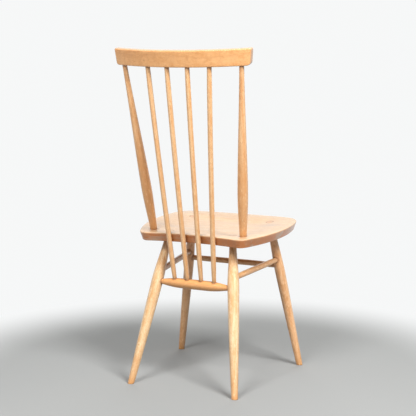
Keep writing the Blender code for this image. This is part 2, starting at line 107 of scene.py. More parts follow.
RAIL_IN_LOG = np.array((0.090, -0.012, 3.1))
LEG_SPECK = ((0.1495, 0.1635, 0.1132), 0.0014)    # place and size of a rear leg's dark speck
GRAIN_RELIEF = 0.00006    # how high the fibres stand
LEG_DIRT_AND_SHADE = 0.006          # how far old dirt and painted shade reach down a leg from its joint with the seat
BACK_DIRT_AND_SHADE = 0.0055        # along a post or a spindle; under the rail it is painted shade as well as old dirt
STRETCHER_DIRT = 0.004    # along a stretcher
CUT_END = 0.015           # a tenon's end grain starts this far past the shoulder

# Fixed parts of the stage

FLOOR_REACH = 14.0        # from the chair to each side of the floor
FLOOR_FADE = (0.62, 1.05)     # from here to there the floor fades to the backdrop
CHAIR_MIDDLE = (0.0, 0.0, 0.45)    # what the lamps point at
LAMPS = (    # each one's name, setting, place and width, and whether the gloss mirrors it
    ("Key Lamp", "key", (-2.2, 1.2, 3.1), 1.2, True),
    ("Fill Lamp", "fill", (0.1, 2.6, 3.1), 1.2, False),
    ("Top Lamp", "top", (-0.2, 0.3, 3.2), 2.4, True),
    ("Front Lamp", "front", (0.9, -2.5, 2.5), 2.4, False),
)


# Settings

def setting(kind, **fixed):
    """A maker of one kind of setting, which then takes its name, description and default."""
    def make(name, description, default):
        parts = {"size": len(default)} if kind is FloatVectorProperty else {}
        return kind(name=name, description=description, default=default, **parts, **fixed)
    return make


size = setting(FloatProperty, min=0.0, unit="LENGTH", subtype="DISTANCE", precision=4)
place_of = setting(FloatVectorProperty, unit="LENGTH", precision=4)
colour = setting(FloatVectorProperty, min=0.0, max=1.0, subtype="COLOR")
share = setting(FloatProperty, min=0.0, max=1.0, subtype="FACTOR")
angle = setting(FloatProperty, subtype="ANGLE")
power = setting(FloatProperty, unit="POWER")
factor = setting(FloatProperty)
sides = setting(IntProperty, min=12, max=256)


class ChairSeatSizes(bpy.types.PropertyGroup):
    """The dished plank."""

    height: size("Height", "Top plane above the floor at the back posts", 0.4416)
    pitch: factor("Pitch", "Rise of the top plane for each metre towards the front", 0.048)
    thickness: size("Thickness", "Of the plank at its edge", 0.026)
    rear_hollow: size("Rear Hollow", "How far the rear edge swings back to its shoulders", 0.0175)
    shoulder: size("Shoulder", "Distance of the rear shoulders from the middle", 0.150)
    rear_power: factor("Rear Swing", "How late the rear edge swings back", 2.4)
    rear_corner: size("Rear Corner", "Distance of the rear corners from the middle", 0.160)
    front_corner: place_of("Front Corner", "Corner point before it is rounded",
                           (0.194, -0.2108))
    front_bow: size("Front Bow", "How far the front edge bows out", 0.008)
    side_bow: size("Side Bow", "How far a side bows out", 0.0382)
    rear_trim: size("Rear Rounding", "Where the rear corner's curve starts", 0.026)
    front_trim: size("Front Rounding", "Where the front corner's curve starts", 0.046)
    undercut: size("Undercut", "How far the lower edge lies inside the upper one", 0.007)
    top_arris: size("Top Edge", "Rounding of the upper edge", 0.0022)
    lower_arris: size("Lower Edge", "Rounding of the lower edge", 0.0035)
    dish_depth: size("Dish Depth", "Depth of the hollow top", 0.009)
    dish_centre: size("Dish Centre", "How far forward the hollow's middle lies", 0.0458)
    dish_start: share("Dish Start", "Share of the way out where the hollow begins", 0.87)
    dish_floor: share("Dish Floor", "Share of the way out where it is full depth", 0.45)
    gap: size("Spindle Gap", "Between the rear edge and the outer spindles", 0.0006)


class ChairLegSizes(bpy.types.PropertyGroup):
    """The four turned legs and the wedges in their tenons."""

    rear_foot: place_of("Rear Foot", "Middle of the left rear foot", (0.1662, 0.1827))
    front_foot: place_of("Front Foot", "Middle of the left front foot", (0.2048, -0.2091))
    rear_tenon: place_of("Rear Tenon", "Its axis at the seat's top plane", (0.1002, 0.0550))
    front_tenon: place_of("Front Tenon", "Its axis at the seat's top plane", (0.1283, -0.1456))
    foot: size("Foot", "Diameter at the floor", 0.0190)
    rear_belly: size("Rear Swelling", "Largest diameter of a rear leg", 0.0338)
    front_belly: size("Front Swelling", "Largest diameter of a front leg", 0.0304)
    belly_height: size("Swelling Height", "Height of the largest diameter", 0.295)
    rear_neck: size("Rear Neck", "Diameter under the seat", 0.0208)
    front_neck: size("Front Neck", "Diameter under the seat", 0.0222)
    tenon: size("Tenon", "Diameter in the seat", 0.0190)
    chamfer: size("Foot Chamfer", "At the rim of the foot", 0.0015)
    wedge: size("Wedge", "Thickness of the wedge at the top", 0.0020)
    wedge_depth: size("Wedge Depth", "How far it goes down into the tenon", 0.016)


class ChairBackSizes(bpy.types.PropertyGroup):
    """Posts, spindles and crest rail."""

    post_base: place_of("Post Base", "Middle of the left post's foot", (0.1435, 0.0787))
    post_top: size("Post Top", "Distance of its top from the middle", 0.1800)
    post_base_d: size("Post Foot", "Diameter at the seat", 0.0205)
    post_belly_d: size("Post Swelling", "Largest diameter", 0.0298)
    post_belly_at: share("Post Swelling Place", "Share of the way up", 0.26)
    post_top_d: size("Post Head", "Diameter at the rail", 0.0135)
    rail_back: size("Rail Back", "How far back the rail's middle lies", 0.2022)
    rail_foot: size("Rail Underside", "Height of the underside's middle", 0.9145)
    rail_radius: size("Rail Radius", "Of the arc that the rail is bent to", 0.558)
    rail_rake: angle("Rail Rake", "Lean of the rail", math.radians(9.11))
    rail_half: size("Rail Half Span", "Half the rail's width before its ends lean", 0.2103)
    rail_height: size("Rail Height", "Of its face", 0.0461)
    rail_thickness: size("Rail Thickness", "From face to face", 0.020)
    rail_slant: size("Rail End Slant", "How far the ends lean in at the bottom", 0.0050)
    rail_turn: angle("Rail End Turn", "How far the ends are turned from square to the bend",
                     math.radians(15))
    rail_lower: size("Lower Corner", "Rounding of the rail's lower corners", 0.011)
    rail_upper: size("Upper Corner", "Rounding of the rail's upper corners", 0.005)
    rail_top_round: size("Top Edge", "Rounding of the rail's top edges", 0.0040)
    rail_bottom_round: size("Bottom Edge", "Rounding of the rail's lower edges", 0.0025)
    rail_end_round: size("End Edge", "Rounding of the rail's end edges", 0.0055)
    spindle_tops: place_of("Spindle Tops", "Distances from the middle", (0.0312, 0.0945))
    spindle_feet: place_of("Spindle Feet", "Distances from the middle", (0.0217, 0.0626))
    spindle_bow: size("Spindle Bow", "How far back it bows half-way up", 0.0037)
    spindle_d: size("Spindle", "Diameter", 0.0143)
    spindle_top_d: size("Spindle Head", "Diameter at the rail", 0.0132)
    spindle_foot_d: size("Spindle Foot", "Diameter at the rear stretcher", 0.0118)
    spindle_taper: size("Spindle Taper", "Length over which its ends narrow", 0.070)


class ChairStretcherSizes(bpy.types.PropertyGroup):
    """The four stretchers."""

    rear_height: size("Rear Height", "Of the rear stretcher's axis", 0.2925)
    front_height: size("Front Height", "Of the front stretcher's axis", 0.3148)
    side_rear_height: size("Side Height, Rear", "Of a side stretcher's rear end", 0.3209)
    side_front_height: size("Side Height, Front", "Of a side stretcher's front end", 0.3334)
    rear_d: size("Rear Swelling", "Largest diameter of the rear stretcher", 0.0286)
    rear_end_d: size("Rear End", "Its diameter at the legs", 0.0150)
    slim_d: size("Slim Stretcher", "Diameter of the other three", 0.0175)
    slim_end_d: size("Slim End", "Their diameter at the legs", 0.0158)
    grow: share("Swelling Length", "Share of the length over which an end grows", 0.30)
    past_axis: size("Tenon", "How far a tenon reaches past the leg's axis", 0.004)


class ChairFinish(bpy.types.PropertyGroup):
    """Colours of the wood and its clear finish."""

    leg_pale: colour("Leg Pale", "Light early wood of the legs", (0.880, 0.680, 0.415))
    leg_middle: colour("Leg Middle", "Middle tone of the legs", (0.750, 0.480, 0.230))
    front_pale: colour("Front Leg Pale", "Light early wood of the front legs",
                       (0.980, 0.640, 0.360))
    front_middle: colour("Front Leg Middle", "Middle tone of the front legs",
                         (0.860, 0.450, 0.200))
    post_pale: colour("Post Pale", "Light wood of the posts", (0.860, 0.550, 0.290))
    post_middle: colour("Post Middle", "Middle tone of the posts", (0.730, 0.360, 0.140))
    slim_pale: colour("Spindle Pale", "Light wood of the slim pieces", (0.820, 0.550, 0.300))
    slim_middle: colour("Spindle Middle", "Middle tone of the slim pieces",
                        (0.680, 0.360, 0.145))
    rail_pale: colour("Rail Pale", "Light wood of the crest rail", (0.800, 0.430, 0.175))
    rail_middle: colour("Rail Middle", "Middle tone of the crest rail", (0.710, 0.335, 0.112))
    # Amber is the wood's darker tone; through the tone mark it is also painted shade on the legs'
    # necks and on the front stretcher
    amber: colour("Amber", "Where the finish lies darker", (0.660, 0.300, 0.092))
    late: colour("Late Wood", "The dark line of a growth ring", (0.520, 0.225, 0.075))
    fleck: colour("Fleck", "Short ray flecks", (0.400, 0.165, 0.058))
    seat_pale: colour("Seat Pale", "Light wood of the plank", (0.635, 0.462, 0.285))
    seat_tan: colour("Seat Tan", "Middle tone of the plank", (0.550, 0.350, 0.192))
    seat_grey: colour("Seat Grey", "Greyish mineral streaks", (0.450, 0.325, 0.235))
    seat_late: colour("Seat Late Wood", "Ring lines of the plank", (0.520, 0.260, 0.115))
    # The seat's edge colour: partly its own darker tone, partly painted shade of the undercut edge
    seat_edge_and_shade: colour("Seat Edge", "The darker finish round the edge", (0.520, 0.145, 0.022))
    # The end-grain colour also lies on the rail's top edge as painted shade
    end_grain_and_rail_top_shade: colour("End Grain", "Where the wood is cut across", (0.460, 0.315, 0.215))
    # Old dirt together with painted shade: darkens the wood next to joints, and under the seat and
    # the rail
    dirt: colour("Old Dirt", "What gathers beside a joint", (0.340, 0.210, 0.130))
    joint: colour("Joint", "Glue line and old dirt at a joint", (0.180, 0.060, 0.018))
    roughness: share("Roughness", "Of the wood under the finish", 0.42)
    coat: share("Clear Coat", "Weight of the satin lacquer", 0.75)
    coat_roughness: share("Coat Roughness", "Of the satin lacquer", 0.20)


class ChairStage(bpy.types.PropertyGroup):
    """Floor, lamps and camera."""

    floor: colour("Floor", "Plain pale floor", (0.305, 0.31, 0.305))
    wall: colour("Backdrop", "What is seen beyond the floor", (0.925, 0.935, 0.935))
    shade: colour("Floor In Shade", "What the floor throws back on the chair",
                  (0.24, 0.235, 0.23))
    sky: share("Sky Light", "Strength of the even light from all round", 0.16)
    key: power("Key Lamp", "Large soft lamp on the camera's right", 168.0)
    fill: power("Fill Lamp", "Soft lamp on the camera's left", 100.0)
    top: power("Top Lamp", "Soft lamp above", 10.0)
    front: power("Front Lamp", "Weak soft lamp before the chair", 50.0)
    lens: FloatProperty(name="Lens", description="Focal length of the camera",
                        default=94.705, subtype="DISTANCE_CAMERA")
    eye: place_of("Camera", "Place of the camera", (-1.3971, 2.8431, 0.9695))
    heading: angle("Heading", "Turn of the camera about the upright", math.pi + 0.4583)
    tilt: angle("Tilt", "How far the camera looks down", 0.1465)
    roll: angle("Roll", "Lean of the camera", -0.0012)


class ChairSettings(bpy.types.PropertyGroup):
    """All settings of the chair."""

    seat: PointerProperty(type=ChairSeatSizes)
    legs: PointerProperty(type=ChairLegSizes)
    back: PointerProperty(type=ChairBackSizes)
    stretchers: PointerProperty(type=ChairStretcherSizes)
    finish: PointerProperty(type=ChairFinish)
    stage: PointerProperty(type=ChairStage)
    leg_sides: sides("Leg Sides", "Facets round a leg or post", 72)
    slim_sides: sides("Spindle Sides", "Facets round a slim piece", 48)


def chair():
    """All settings of the chair in this scene."""
    return bpy.context.scene.spindle_chair


# Small curves

def smooth(t):
    """3 t squared less 2 t cubed, with t held between 0 and 1."""
    t = np.clip(t, 0.0, 1.0)
    return t * t * (3 - 2 * t)


def mix(a, b, t):
    """a plus t times (b less a)."""
    return a + (b - a) * t


def unit(v):
    """Vectors divided by their own lengths."""
    return v / np.linalg.norm(v, axis=-1, keepdims=True)


def point(x, y, z):
    """One place or direction."""
    return np.array((x, y, z), float)


def quarter(count):
    """Sine and one less cosine of count even steps over a quarter turn, without its start."""
    turn = np.linspace(0, math.pi / 2, count + 1)[1:]
    return np.sin(turn), 1 - np.cos(turn)


def near(run, places, reach):
    """1 at each place along a piece, falling to 0 over the reach as an exponential."""
    gaps = [np.abs(run - place) for place in places]
    return np.exp(-np.min(gaps, axis=0) / reach)


def way_along(line):
    """The length walked along a line of points on reaching each of them."""
    steps = np.linalg.norm(np.diff(line, axis=0), axis=1)
    return np.concatenate(([0.0], np.cumsum(steps)))


# Meshes

def ring_mesh(name, rings, **marks):
    """A closed mesh from rings of points, shaped (rings, sides, 3), with a pole at each end.

    Quad (i, k) joins points k and k + 1 of rings i and i + 1, and the first and last rings close
    on their own mean points. A mark is an attribute with a value for each point, or one that
    spreads to them all, and its poles take the mean of their ring.
    """
    count, sides = rings.shape[:2]
    index = np.arange(count * sides).reshape(count, sides)
    after = np.roll(index, -1, axis=1)
    quads = np.stack((index[:-1], after[:-1], after[1:], index[1:]), axis=-1).reshape(-1, 4)
    pole = np.full(sides, count * sides)
    low = np.stack((after[0], index[0], pole), axis=-1)
    high = np.stack((index[-1], after[-1], pole + 1), axis=-1)

    def with_poles(values):
        flat = values.reshape((count * sides,) + values.shape[2:])
        ends = np.stack((values[0].mean(axis=0), values[-1].mean(axis=0)))
        return np.concatenate((flat, ends))

    mesh = bpy.data.meshes.new(name)
    faces = quads.tolist() + low.tolist() + high.tolist()
    mesh.from_pydata(with_poles(rings).tolist(), [], faces)
    for label, values in marks.items():
        vector = label == "grain"
        values = np.broadcast_to(values, rings.shape if vector else (count, sides))
        layer = mesh.attributes.new(label, "FLOAT_VECTOR" if vector else "FLOAT", "POINT")
        flat = with_poles(values).astype(np.float32).ravel()
        layer.data.foreach_set("vector" if vector else "value", flat)
    work = bmesh.new()
    work.from_mesh(mesh)
    bmesh.ops.recalc_face_normals(work, faces=work.faces)
    work.to_mesh(mesh)
    work.free()
    mesh.shade_smooth()
    mesh.set_sharp_from_angle(angle=SHARP_ANGLE)
    return mesh


def carry_circle(path, along, radii, reference, sides, planes=()):
    """Rings of a circle carried along a path, and their places in the billet.

    Point (i, k) is path[i] + radii[i] (side cos a + other sin a) with a = 2 pi k / sides. along
    is the path's direction, side is the reference made square to it, and other is along x side.
    Each of planes is (normal, weights): a ring slides along the path by its weight into the plane
    square to that normal. The billet's coordinates are the spoke's two parts and the length along
    the path.
    """
    along = along * np.ones((len(path), 1))
    side = unit(reference - along * (along @ reference)[:, None])
    other = np.cross(along, side)
    turn = np.linspace(0, 2 * math.pi, sides, endpoint=False)
    flat = np.stack((np.cos(turn), np.sin(turn)), axis=-1)[None] * radii[:, None, None]
    spokes = flat[..., :1] * side[:, None] + flat[..., 1:] * other[:, None]
    run = way_along(path)[:, None] * np.ones(sides)
    for normal, weights in planes:
        slide = (spokes @ normal) / (along @ normal)[:, None] * weights[:, None]
        spokes = spokes - along[:, None] * slide[..., None]
        run = run - slide
    return path[:, None] + spokes, np.concatenate((flat, run[..., None]), axis=-1)


def billet(grain, number, spread=0.055):
    """Moves a piece to its own place in its own log, so that no two pieces match."""
    draw = np.random.default_rng(number)
    turn = draw.uniform(0, 2 * math.pi)
    reach = spread * draw.uniform(0.7, 1.6)
    return grain + point(reach * math.cos(turn), reach * math.sin(turn), draw.uniform(2, 9))


def clear_away(group, name):
    """Removes what an earlier press of the same button left."""
    old = group.get(name)
    if old:
        group.remove(old, do_unlink=True)


def link_new(name, data):
    """A new object in the scene."""
    made = bpy.data.objects.new(name, data)
    bpy.context.scene.collection.objects.link(made)
    return made


def new_material(name):
    """A material with Blender's Principled shader in it."""
    clear_away(bpy.data.materials, name)
    material = bpy.data.materials.new(name)
    material.use_nodes = True
    return material


def stand_for(node, ending, mesh, material):
    """Links a finished piece, lets it stand for its solid and tests that it keeps its box."""
    name = node + ending
    clear_away(bpy.data.objects, name)
    mesh.materials.append(material)
    piece = link_new(name, mesh)
    points = np.empty(len(mesh.vertices) * 3, np.float32)
    mesh.vertices.foreach_get("co", points)
    points = points.reshape(-1, 3)
    low, high = (np.array(corner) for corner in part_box(node))
    worst = max(np.abs(low - points.min(axis=0)).max(), np.abs(points.max(axis=0) - high).max())
    if worst > BOX_SLACK:
        raise RuntimeError(f"{name} departs {worst * 1000:.1f} mm from the box of {node}")
    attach(piece, "root")
    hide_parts(node)


# Shared axes

def seat_top(y):
    """Height of the seat's top plane: its height at the posts plus pitch times the way forward."""
    seat = chair().seat
    return seat.height + seat.pitch * (chair().back.post_base[1] - y)


def seat_normal():
    """The direction square to the seat's top plane."""
    return unit(point(0, chair().seat.pitch, 1))


def of_leg(rear, part):
    """The size of a rear or a front leg that goes by this name."""
    return getattr(chair().legs, ("rear_" if rear else "front_") + part)


def leg_axis(hand, rear):
    """Foot and top-plane points of one leg's axis; hand is 1 on the left and -1 on the right."""
    foot, head = of_leg(rear, "foot"), of_leg(rear, "tenon")
    return point(hand * foot[0], foot[1], 0), point(hand * head[0], head[1], seat_top(head[1]))


def on_leg(hand, rear, height):
    """The point of a leg's axis at this height."""
    foot, head = leg_axis(hand, rear)
    return mix(foot, head, height / head[2])


def rail_points(x, back, up):
    """Points of the bent rail: an arc in plan, leaned back by the rake.

    With a = asin(x / R): across is x + back sin a, out is R (cos a - 1) + back cos a, and the
    plane (out, up) turns by the rake about the X direction through the underside's middle.
    """
    sizes = chair().back
    turn = np.arcsin(x / sizes.rail_radius)
    out = sizes.rail_radius * (np.cos(turn) - 1) + back * np.cos(turn)
    lean, rise = math.sin(sizes.rail_rake), math.cos(sizes.rail_rake)
    return np.stack((
        x + back * np.sin(turn),
        sizes.rail_back + out * rise + up * lean,
        sizes.rail_foot - out * lean + up * rise,
    ), axis=-1)


def spindle_line(index, hand):
    """Where a spindle meets the rear stretcher's axis and the rail's underside."""
    sizes, height = chair().back, chair().stretchers.rear_height
    low = point(hand * sizes.spindle_feet[index], on_leg(1, True, height)[1], height)
    return low, rail_points(np.array(hand * sizes.spindle_tops[index]), 0.0, 0.0)


def spindle_path(low, high, t):
    """The straight line plus a parabola of the bow's height towards the back."""
    t = np.asarray(t)[..., None]
    return mix(low, high, t) + point(0, 4 * chair().back.spindle_bow, 0) * t * (1 - t)


# Seat surface

def rear_swing(x):
    """How far back the rear edge has swung: hollow times (x / shoulder) to its power."""
    seat = chair().seat
    return seat.rear_hollow * (x / seat.shoulder) ** seat.rear_power


def rear_middle():
    """Where the rear edge crosses the middle, so that it clears the outer spindles by the gap."""
    low, high = spindle_line(1, 1)
    rise, front = high[2] - low[2], high[1]
    for _ in range(EDGE_ROUNDS):
        axis = spindle_path(low, high, (seat_top(front) - low[2]) / rise)
        front = axis[1] - chair().back.spindle_d / 2 * np.linalg.norm(high - low) / rise
    return front - chair().seat.gap - rear_swing(axis[0])


def bowed(a, b, bow, t):
    """The chord from a to b plus a parabola of height bow on its left."""
    chord = b - a
    out = np.array((-chord[1], chord[0])) / np.linalg.norm(chord)
    return a + chord * t[:, None] + out * (4 * bow * t * (1 - t))[:, None]


def bent_corner(a, middle, b, count):
    """The quadratic a (1-t)^2 + 2 middle t (1-t) + b t^2, without its ends."""
    t = np.linspace(0, 1, count + 1)[1:-1, None]
    return a * (1 - t) ** 2 + 2 * middle * t * (1 - t) + b * t ** 2


def seat_outline():
    """The seat's edge from above, as points at even distances, clockwise from the rear.

    The rear edge is its middle plus its swing, sides and front are bowed chords, and the corners
    are quadratics. The left half is mirrored.
    """
    seat = chair().seat
    start = rear_middle()
    rear_x = np.linspace(0, seat.rear_corner - seat.rear_trim, 60)
    rear = np.stack((rear_x, start + rear_swing(rear_x)), axis=-1)
    rear_corner = np.array((seat.rear_corner, start + rear_swing(seat.rear_corner)))
    front_corner = np.array(seat.front_corner)
    length = np.linalg.norm(front_corner - rear_corner)
    side_t = np.linspace(seat.rear_trim / length, 1 - seat.front_trim / length, 80)
    side = bowed(rear_corner, front_corner, seat.side_bow, side_t)
    front_t = np.linspace(seat.front_trim / (2 * front_corner[0]), 0.5, 50)
    front = bowed(front_corner, front_corner * (-1, 1), seat.front_bow, front_t)
    half = np.concatenate((
        rear, bent_corner(rear[-1], rear_corner, side[0], 24), side,
        bent_corner(side[-1], front_corner, front[0], 30), front))
    whole = np.concatenate((half, half[-2::-1] * (-1, 1)))
    run = way_along(whole)
    even = np.linspace(0, run[-1], OUTLINE_POINTS, endpoint=False)
    return np.stack([np.interp(even, run, whole[:, part]) for part in (0, 1)], axis=-1)


def inset(outline, distance):
    """The outline moved inward, square to the chord between each point's neighbours."""
    along = np.roll(outline, -1, axis=0) - np.roll(outline, 1, axis=0)
    return outline + unit(np.stack((along[:, 1], -along[:, 0]), axis=-1)) * distance


def dish_centre():
    """The middle of the hollow, seen from above."""
    return np.array((0.0, -chair().seat.dish_centre))


def dish(way):
    """Depth of the hollow: its full depth times an S curve of the way from start to floor."""
    seat = chair().seat
    return seat.dish_depth * smooth((seat.dish_start - way) / (seat.dish_start - seat.dish_floor))


def seat_surface(x, y):
    """Height of the dished top over any point, by its share of the way out to the rim."""
    rim = inset(seat_outline(), chair().seat.top_arris) - dish_centre()
    angles = np.arctan2(rim[:, 1], rim[:, 0])
    order = np.argsort(angles)
    reach = np.linalg.norm(rim, axis=1)[order]
    px, py = x - dish_centre()[0], y - dish_centre()[1]
    edge = np.interp(np.arctan2(py, px), angles[order], reach, period=2 * math.pi)
    return seat_top(y) - dish(np.hypot(px, py) / edge)


def lay_on_seat(points, along, proud):
    """Slides points along an axis until they stand proud of the dished top."""
    for _ in range(DISH_ROUNDS):
        lift = seat_surface(points[..., 0], points[..., 1]) + proud - points[..., 2]
        points = points + along * (lift / along[2])[..., None]
    return points


# Nodes

class Nodes:
    """Adds nodes to one tree. An input takes a socket to link, or a plain value to hold."""

    def __init__(self, tree):
        self.tree = tree

    def feed(self, socket, value):
        """Links a socket to another, or gives it a plain value."""
        if isinstance(value, bpy.types.NodeSocket):
            self.tree.links.new(value, socket)
        elif socket.type == "RGBA":
            socket.default_value = (*value[:3], 1.0)
        else:
            socket.default_value = value

    def put(self, kind, feeds=None, **settings):
        """The outputs of a new node with these settings, its inputs fed by name or number."""
        node = self.tree.nodes.new(kind)
        for key, value in settings.items():
            setattr(node, key, value)
        for key, value in (feeds or {}).items():
            self.feed(node.inputs[key], value)
        return node.outputs

    def math(self, operation, *values):
        """One Math node."""
        return self.put("ShaderNodeMath", dict(enumerate(values)), operation=operation)[0]

    def times(self, a, b):
        """One number times another."""
        return self.math("MULTIPLY", a, b)

    def vector(self, operation, *values):
        """One Vector Math node; lengths and dot products come out as a number."""
        made = self.put("ShaderNodeVectorMath", dict(enumerate(values)), operation=operation)
        single = operation in ("LENGTH", "DOT_PRODUCT", "DISTANCE")
        return made["Value" if single else "Vector"]

    def ramp(self, value, low, high, start=0.0, end=1.0):
        """A smooth step from start to end as the value goes from low to high."""
        feeds = {0: value, 1: low, 2: high, 3: start, 4: end}
        return self.put("ShaderNodeMapRange", feeds, interpolation_type="SMOOTHSTEP")[0]

    def noise(self, place, factors, detail=2.0, rough=0.5):
        """Noise of a place whose three parts are multiplied by the factors."""
        return self.put("ShaderNodeTexNoise", {
            "Vector": self.vector("MULTIPLY", place, factors), "Scale": 1.0, "Detail": detail,
            "Roughness": rough})[0]

    def tint(self, mask, under, over, way="MIX"):
        """Lays one colour over another by a mask."""
        feeds = {0: mask, 6: under, 7: over}
        return self.put("ShaderNodeMix", feeds, data_type="RGBA", blend_type=way)[2]

    def shared(self, name, feeds):
        """The outputs of a shared node group, which is made first if it isn't there yet."""
        group = bpy.data.node_groups.get(name) or make_group(name)
        return self.put("ShaderNodeGroup", feeds, node_tree=group)


def growth_rings(nodes, given):
    """Radius from the pith, made to wander by noise, cut into rings with a dark late edge."""
    grain = given["Grain"]
    swing = nodes.math("MULTIPLY_ADD", nodes.noise(grain, (60, 60, 6)), 0.16,
                       nodes.noise(grain, (9, 9, 1.3)))
    shift = nodes.times(nodes.math("SUBTRACT", swing, 0.58), given["Wander"])
    radius = nodes.vector("LENGTH", nodes.vector("MULTIPLY", grain, (1, 1, 0)))
    count = nodes.math("DIVIDE", nodes.math("ADD", radius, shift), given["Ring Width"])
    part = nodes.math("FRACT", count)
    late = nodes.times(nodes.math("POWER", part, 3.0), nodes.ramp(part, 0.90, 1.0, 1.0, 0.0))
    tone = nodes.put("ShaderNodeTexNoise", {"W": count, "Scale": 0.43, "Detail": 2.0},
                     noise_dimensions="1D")[0]
    return late, nodes.ramp(tone, 0.3, 0.7)


def fibres(nodes, given):
    """Noise drawn out along the grain: hair lines, and the longer open pores."""
    hair = nodes.noise(given["Grain"], (1500, 1500, 30), 3.0, 0.6)
    pore = nodes.noise(given["Grain"], (2600, 2600, 170), 1.0)
    return nodes.ramp(hair, 0.25, 0.75), nodes.ramp(pore, 0.62, 0.72)


def ray_flecks(nodes, given):
    """Long narrow cells, of which the share given by Density holds a lens-shaped fleck."""
    def lenses(factors, core, rim, density):
        """A lens from core to rim in each cell whose random number is below the density."""
        cells = nodes.vector("MULTIPLY", given["Grain"], factors)
        cell = nodes.put("ShaderNodeTexVoronoi", {"Vector": cells, "Scale": 1.0})
        chance = nodes.put("ShaderNodeSeparateColor", {0: cell["Color"]})[0]
        lens = nodes.ramp(cell["Distance"], core, rim, 1.0, 0.0)
        return nodes.times(nodes.math("LESS_THAN", chance, density), lens)

    return (lenses((620, 620, 190), 0.16, 0.40, given["Density"]),
            lenses((230, 230, 75), 0.18, 0.50, 0.30))


FIGURE = {    # each one's factors, detail and roughness, and where its mask starts and is full
    "Cloud": ((26, 26, 8), 2.0, 0.5, 0.36, 0.68),
    "Patch": ((48, 48, 58), 3.0, 0.6, 0.46, 0.66),
    "Mottle": ((120, 120, 52), 3.0, 0.6, 0.42, 0.60),
    "Streak": ((34, 34, 3.2), 3.0, 0.55, 0.54, 0.70),
    "Curl": ((9, 9, 55), 4.0, 0.65, 0.46, 0.60),
}


def figure(nodes, given):
    """Slow changes of tone: clouds, patches, a mottle, streaks along the grain, curl across it."""
    return [nodes.ramp(nodes.noise(given["Grain"], factors, detail, rough), start, full)
            for factors, detail, rough, start, full in FIGURE.values()]


def joint_ring(nodes, given):
    """Distance from a joint's axis, less its radius: a hair line there, and soft old dirt with
    painted shade.

    Both are kept to the given length of the axis from the centre. The side is taken as positive,
    so that one ring serves both hands.
    """
    parts = nodes.put("ShaderNodeSeparateXYZ", {0: given["Place"]})
    folded = nodes.put("ShaderNodeCombineXYZ", {
        0: nodes.math("ABSOLUTE", parts[0]), 1: parts[1], 2: parts[2]})[0]
    arm = nodes.vector("SUBTRACT", folded, given["Centre"])
    run = nodes.vector("DOT_PRODUCT", arm, given["Axis"])
    shadow = nodes.put("ShaderNodeVectorMath", {0: given["Axis"], "Scale": run},
                       operation="SCALE")[0]
    away = nodes.vector("LENGTH", nodes.vector("SUBTRACT", arm, shadow))
    past = nodes.math("ABSOLUTE", nodes.math("SUBTRACT", away, given["Radius"]))
    beside = nodes.times(nodes.math("GREATER_THAN", run, 0.0),
                         nodes.math("LESS_THAN", run, given["Length"]))
    line = nodes.ramp(past, 0.0001, 0.0006, 1.0, 0.0)
    dirt = nodes.ramp(nodes.math("DIVIDE", past, given["Reach"]), 0.0, 1.0, 1.0, 0.0)
    return nodes.times(line, beside), nodes.times(dirt, beside)


def pin_knot(nodes, given):
    """A small knot: a dark eye, darker wood close round it, and a wide pale ring."""
    ragged = nodes.math("SUBTRACT", nodes.noise(given["Place"], (420, 420, 420)), 0.5)
    away = nodes.vector("DISTANCE", given["Place"], given["Centre"])
    width = nodes.math("MULTIPLY_ADD", ragged, 0.7, nodes.math("DIVIDE", away, given["Size"]))
    ring = nodes.times(nodes.ramp(width, 2.2, 3.6), nodes.ramp(width, 4.0, 5.6, 1.0, 0.0))
    return (nodes.ramp(width, 0.35, 0.9, 1.0, 0.0), nodes.ramp(width, 0.8, 3.2, 1.0, 0.0), ring)


ORIGIN = (0.0, 0.0, 0.0)
GROUPS = {    # each one's maker, its inputs with their defaults, and its outputs
    "Growth Rings": (growth_rings, {"Grain": ORIGIN, "Ring Width": 0.0025, "Wander": 0.004},
                     ("Late Wood", "Ring Tone")),
    "Fibres": (fibres, {"Grain": ORIGIN}, ("Fibre", "Pore")),
    "Ray Flecks": (ray_flecks, {"Grain": ORIGIN, "Density": 0.5}, ("Fleck", "Pale Fleck")),
    "Figure": (figure, {"Grain": ORIGIN}, tuple(FIGURE)),
    "Joint Ring": (joint_ring, {"Place": ORIGIN, "Centre": ORIGIN, "Axis": (0.0, 0.0, 1.0),
                                "Length": 0.03, "Radius": 0.01, "Reach": 0.005},
                   ("Line", "Dirt")),
    "Pin Knot": (pin_knot, {"Place": ORIGIN, "Centre": ORIGIN, "Size": 0.003},
                 ("Eye", "Halo", "Ring")),
}


def make_group(name):
    """One of the shared shader node groups, whose outputs are all masks."""
    maker, inputs, outputs = GROUPS[name]
    tree = bpy.data.node_groups.new(name, "ShaderNodeTree")
    for label, default in inputs.items():
        kind = "NodeSocketVector" if isinstance(default, tuple) else "NodeSocketFloat"
        socket = tree.interface.new_socket(label, in_out="INPUT", socket_type=kind)
        socket.default_value = default
    for label in outputs:
        tree.interface.new_socket(label, in_out="OUTPUT", socket_type="NodeSocketFloat")
    nodes = Nodes(tree)
    masks = maker(nodes, nodes.put("NodeGroupInput"))
    sink = tree.nodes.new("NodeGroupOutput").inputs
    for label, mask in zip(outputs, masks):
        nodes.feed(sink[label], mask)
    return tree


# Materials

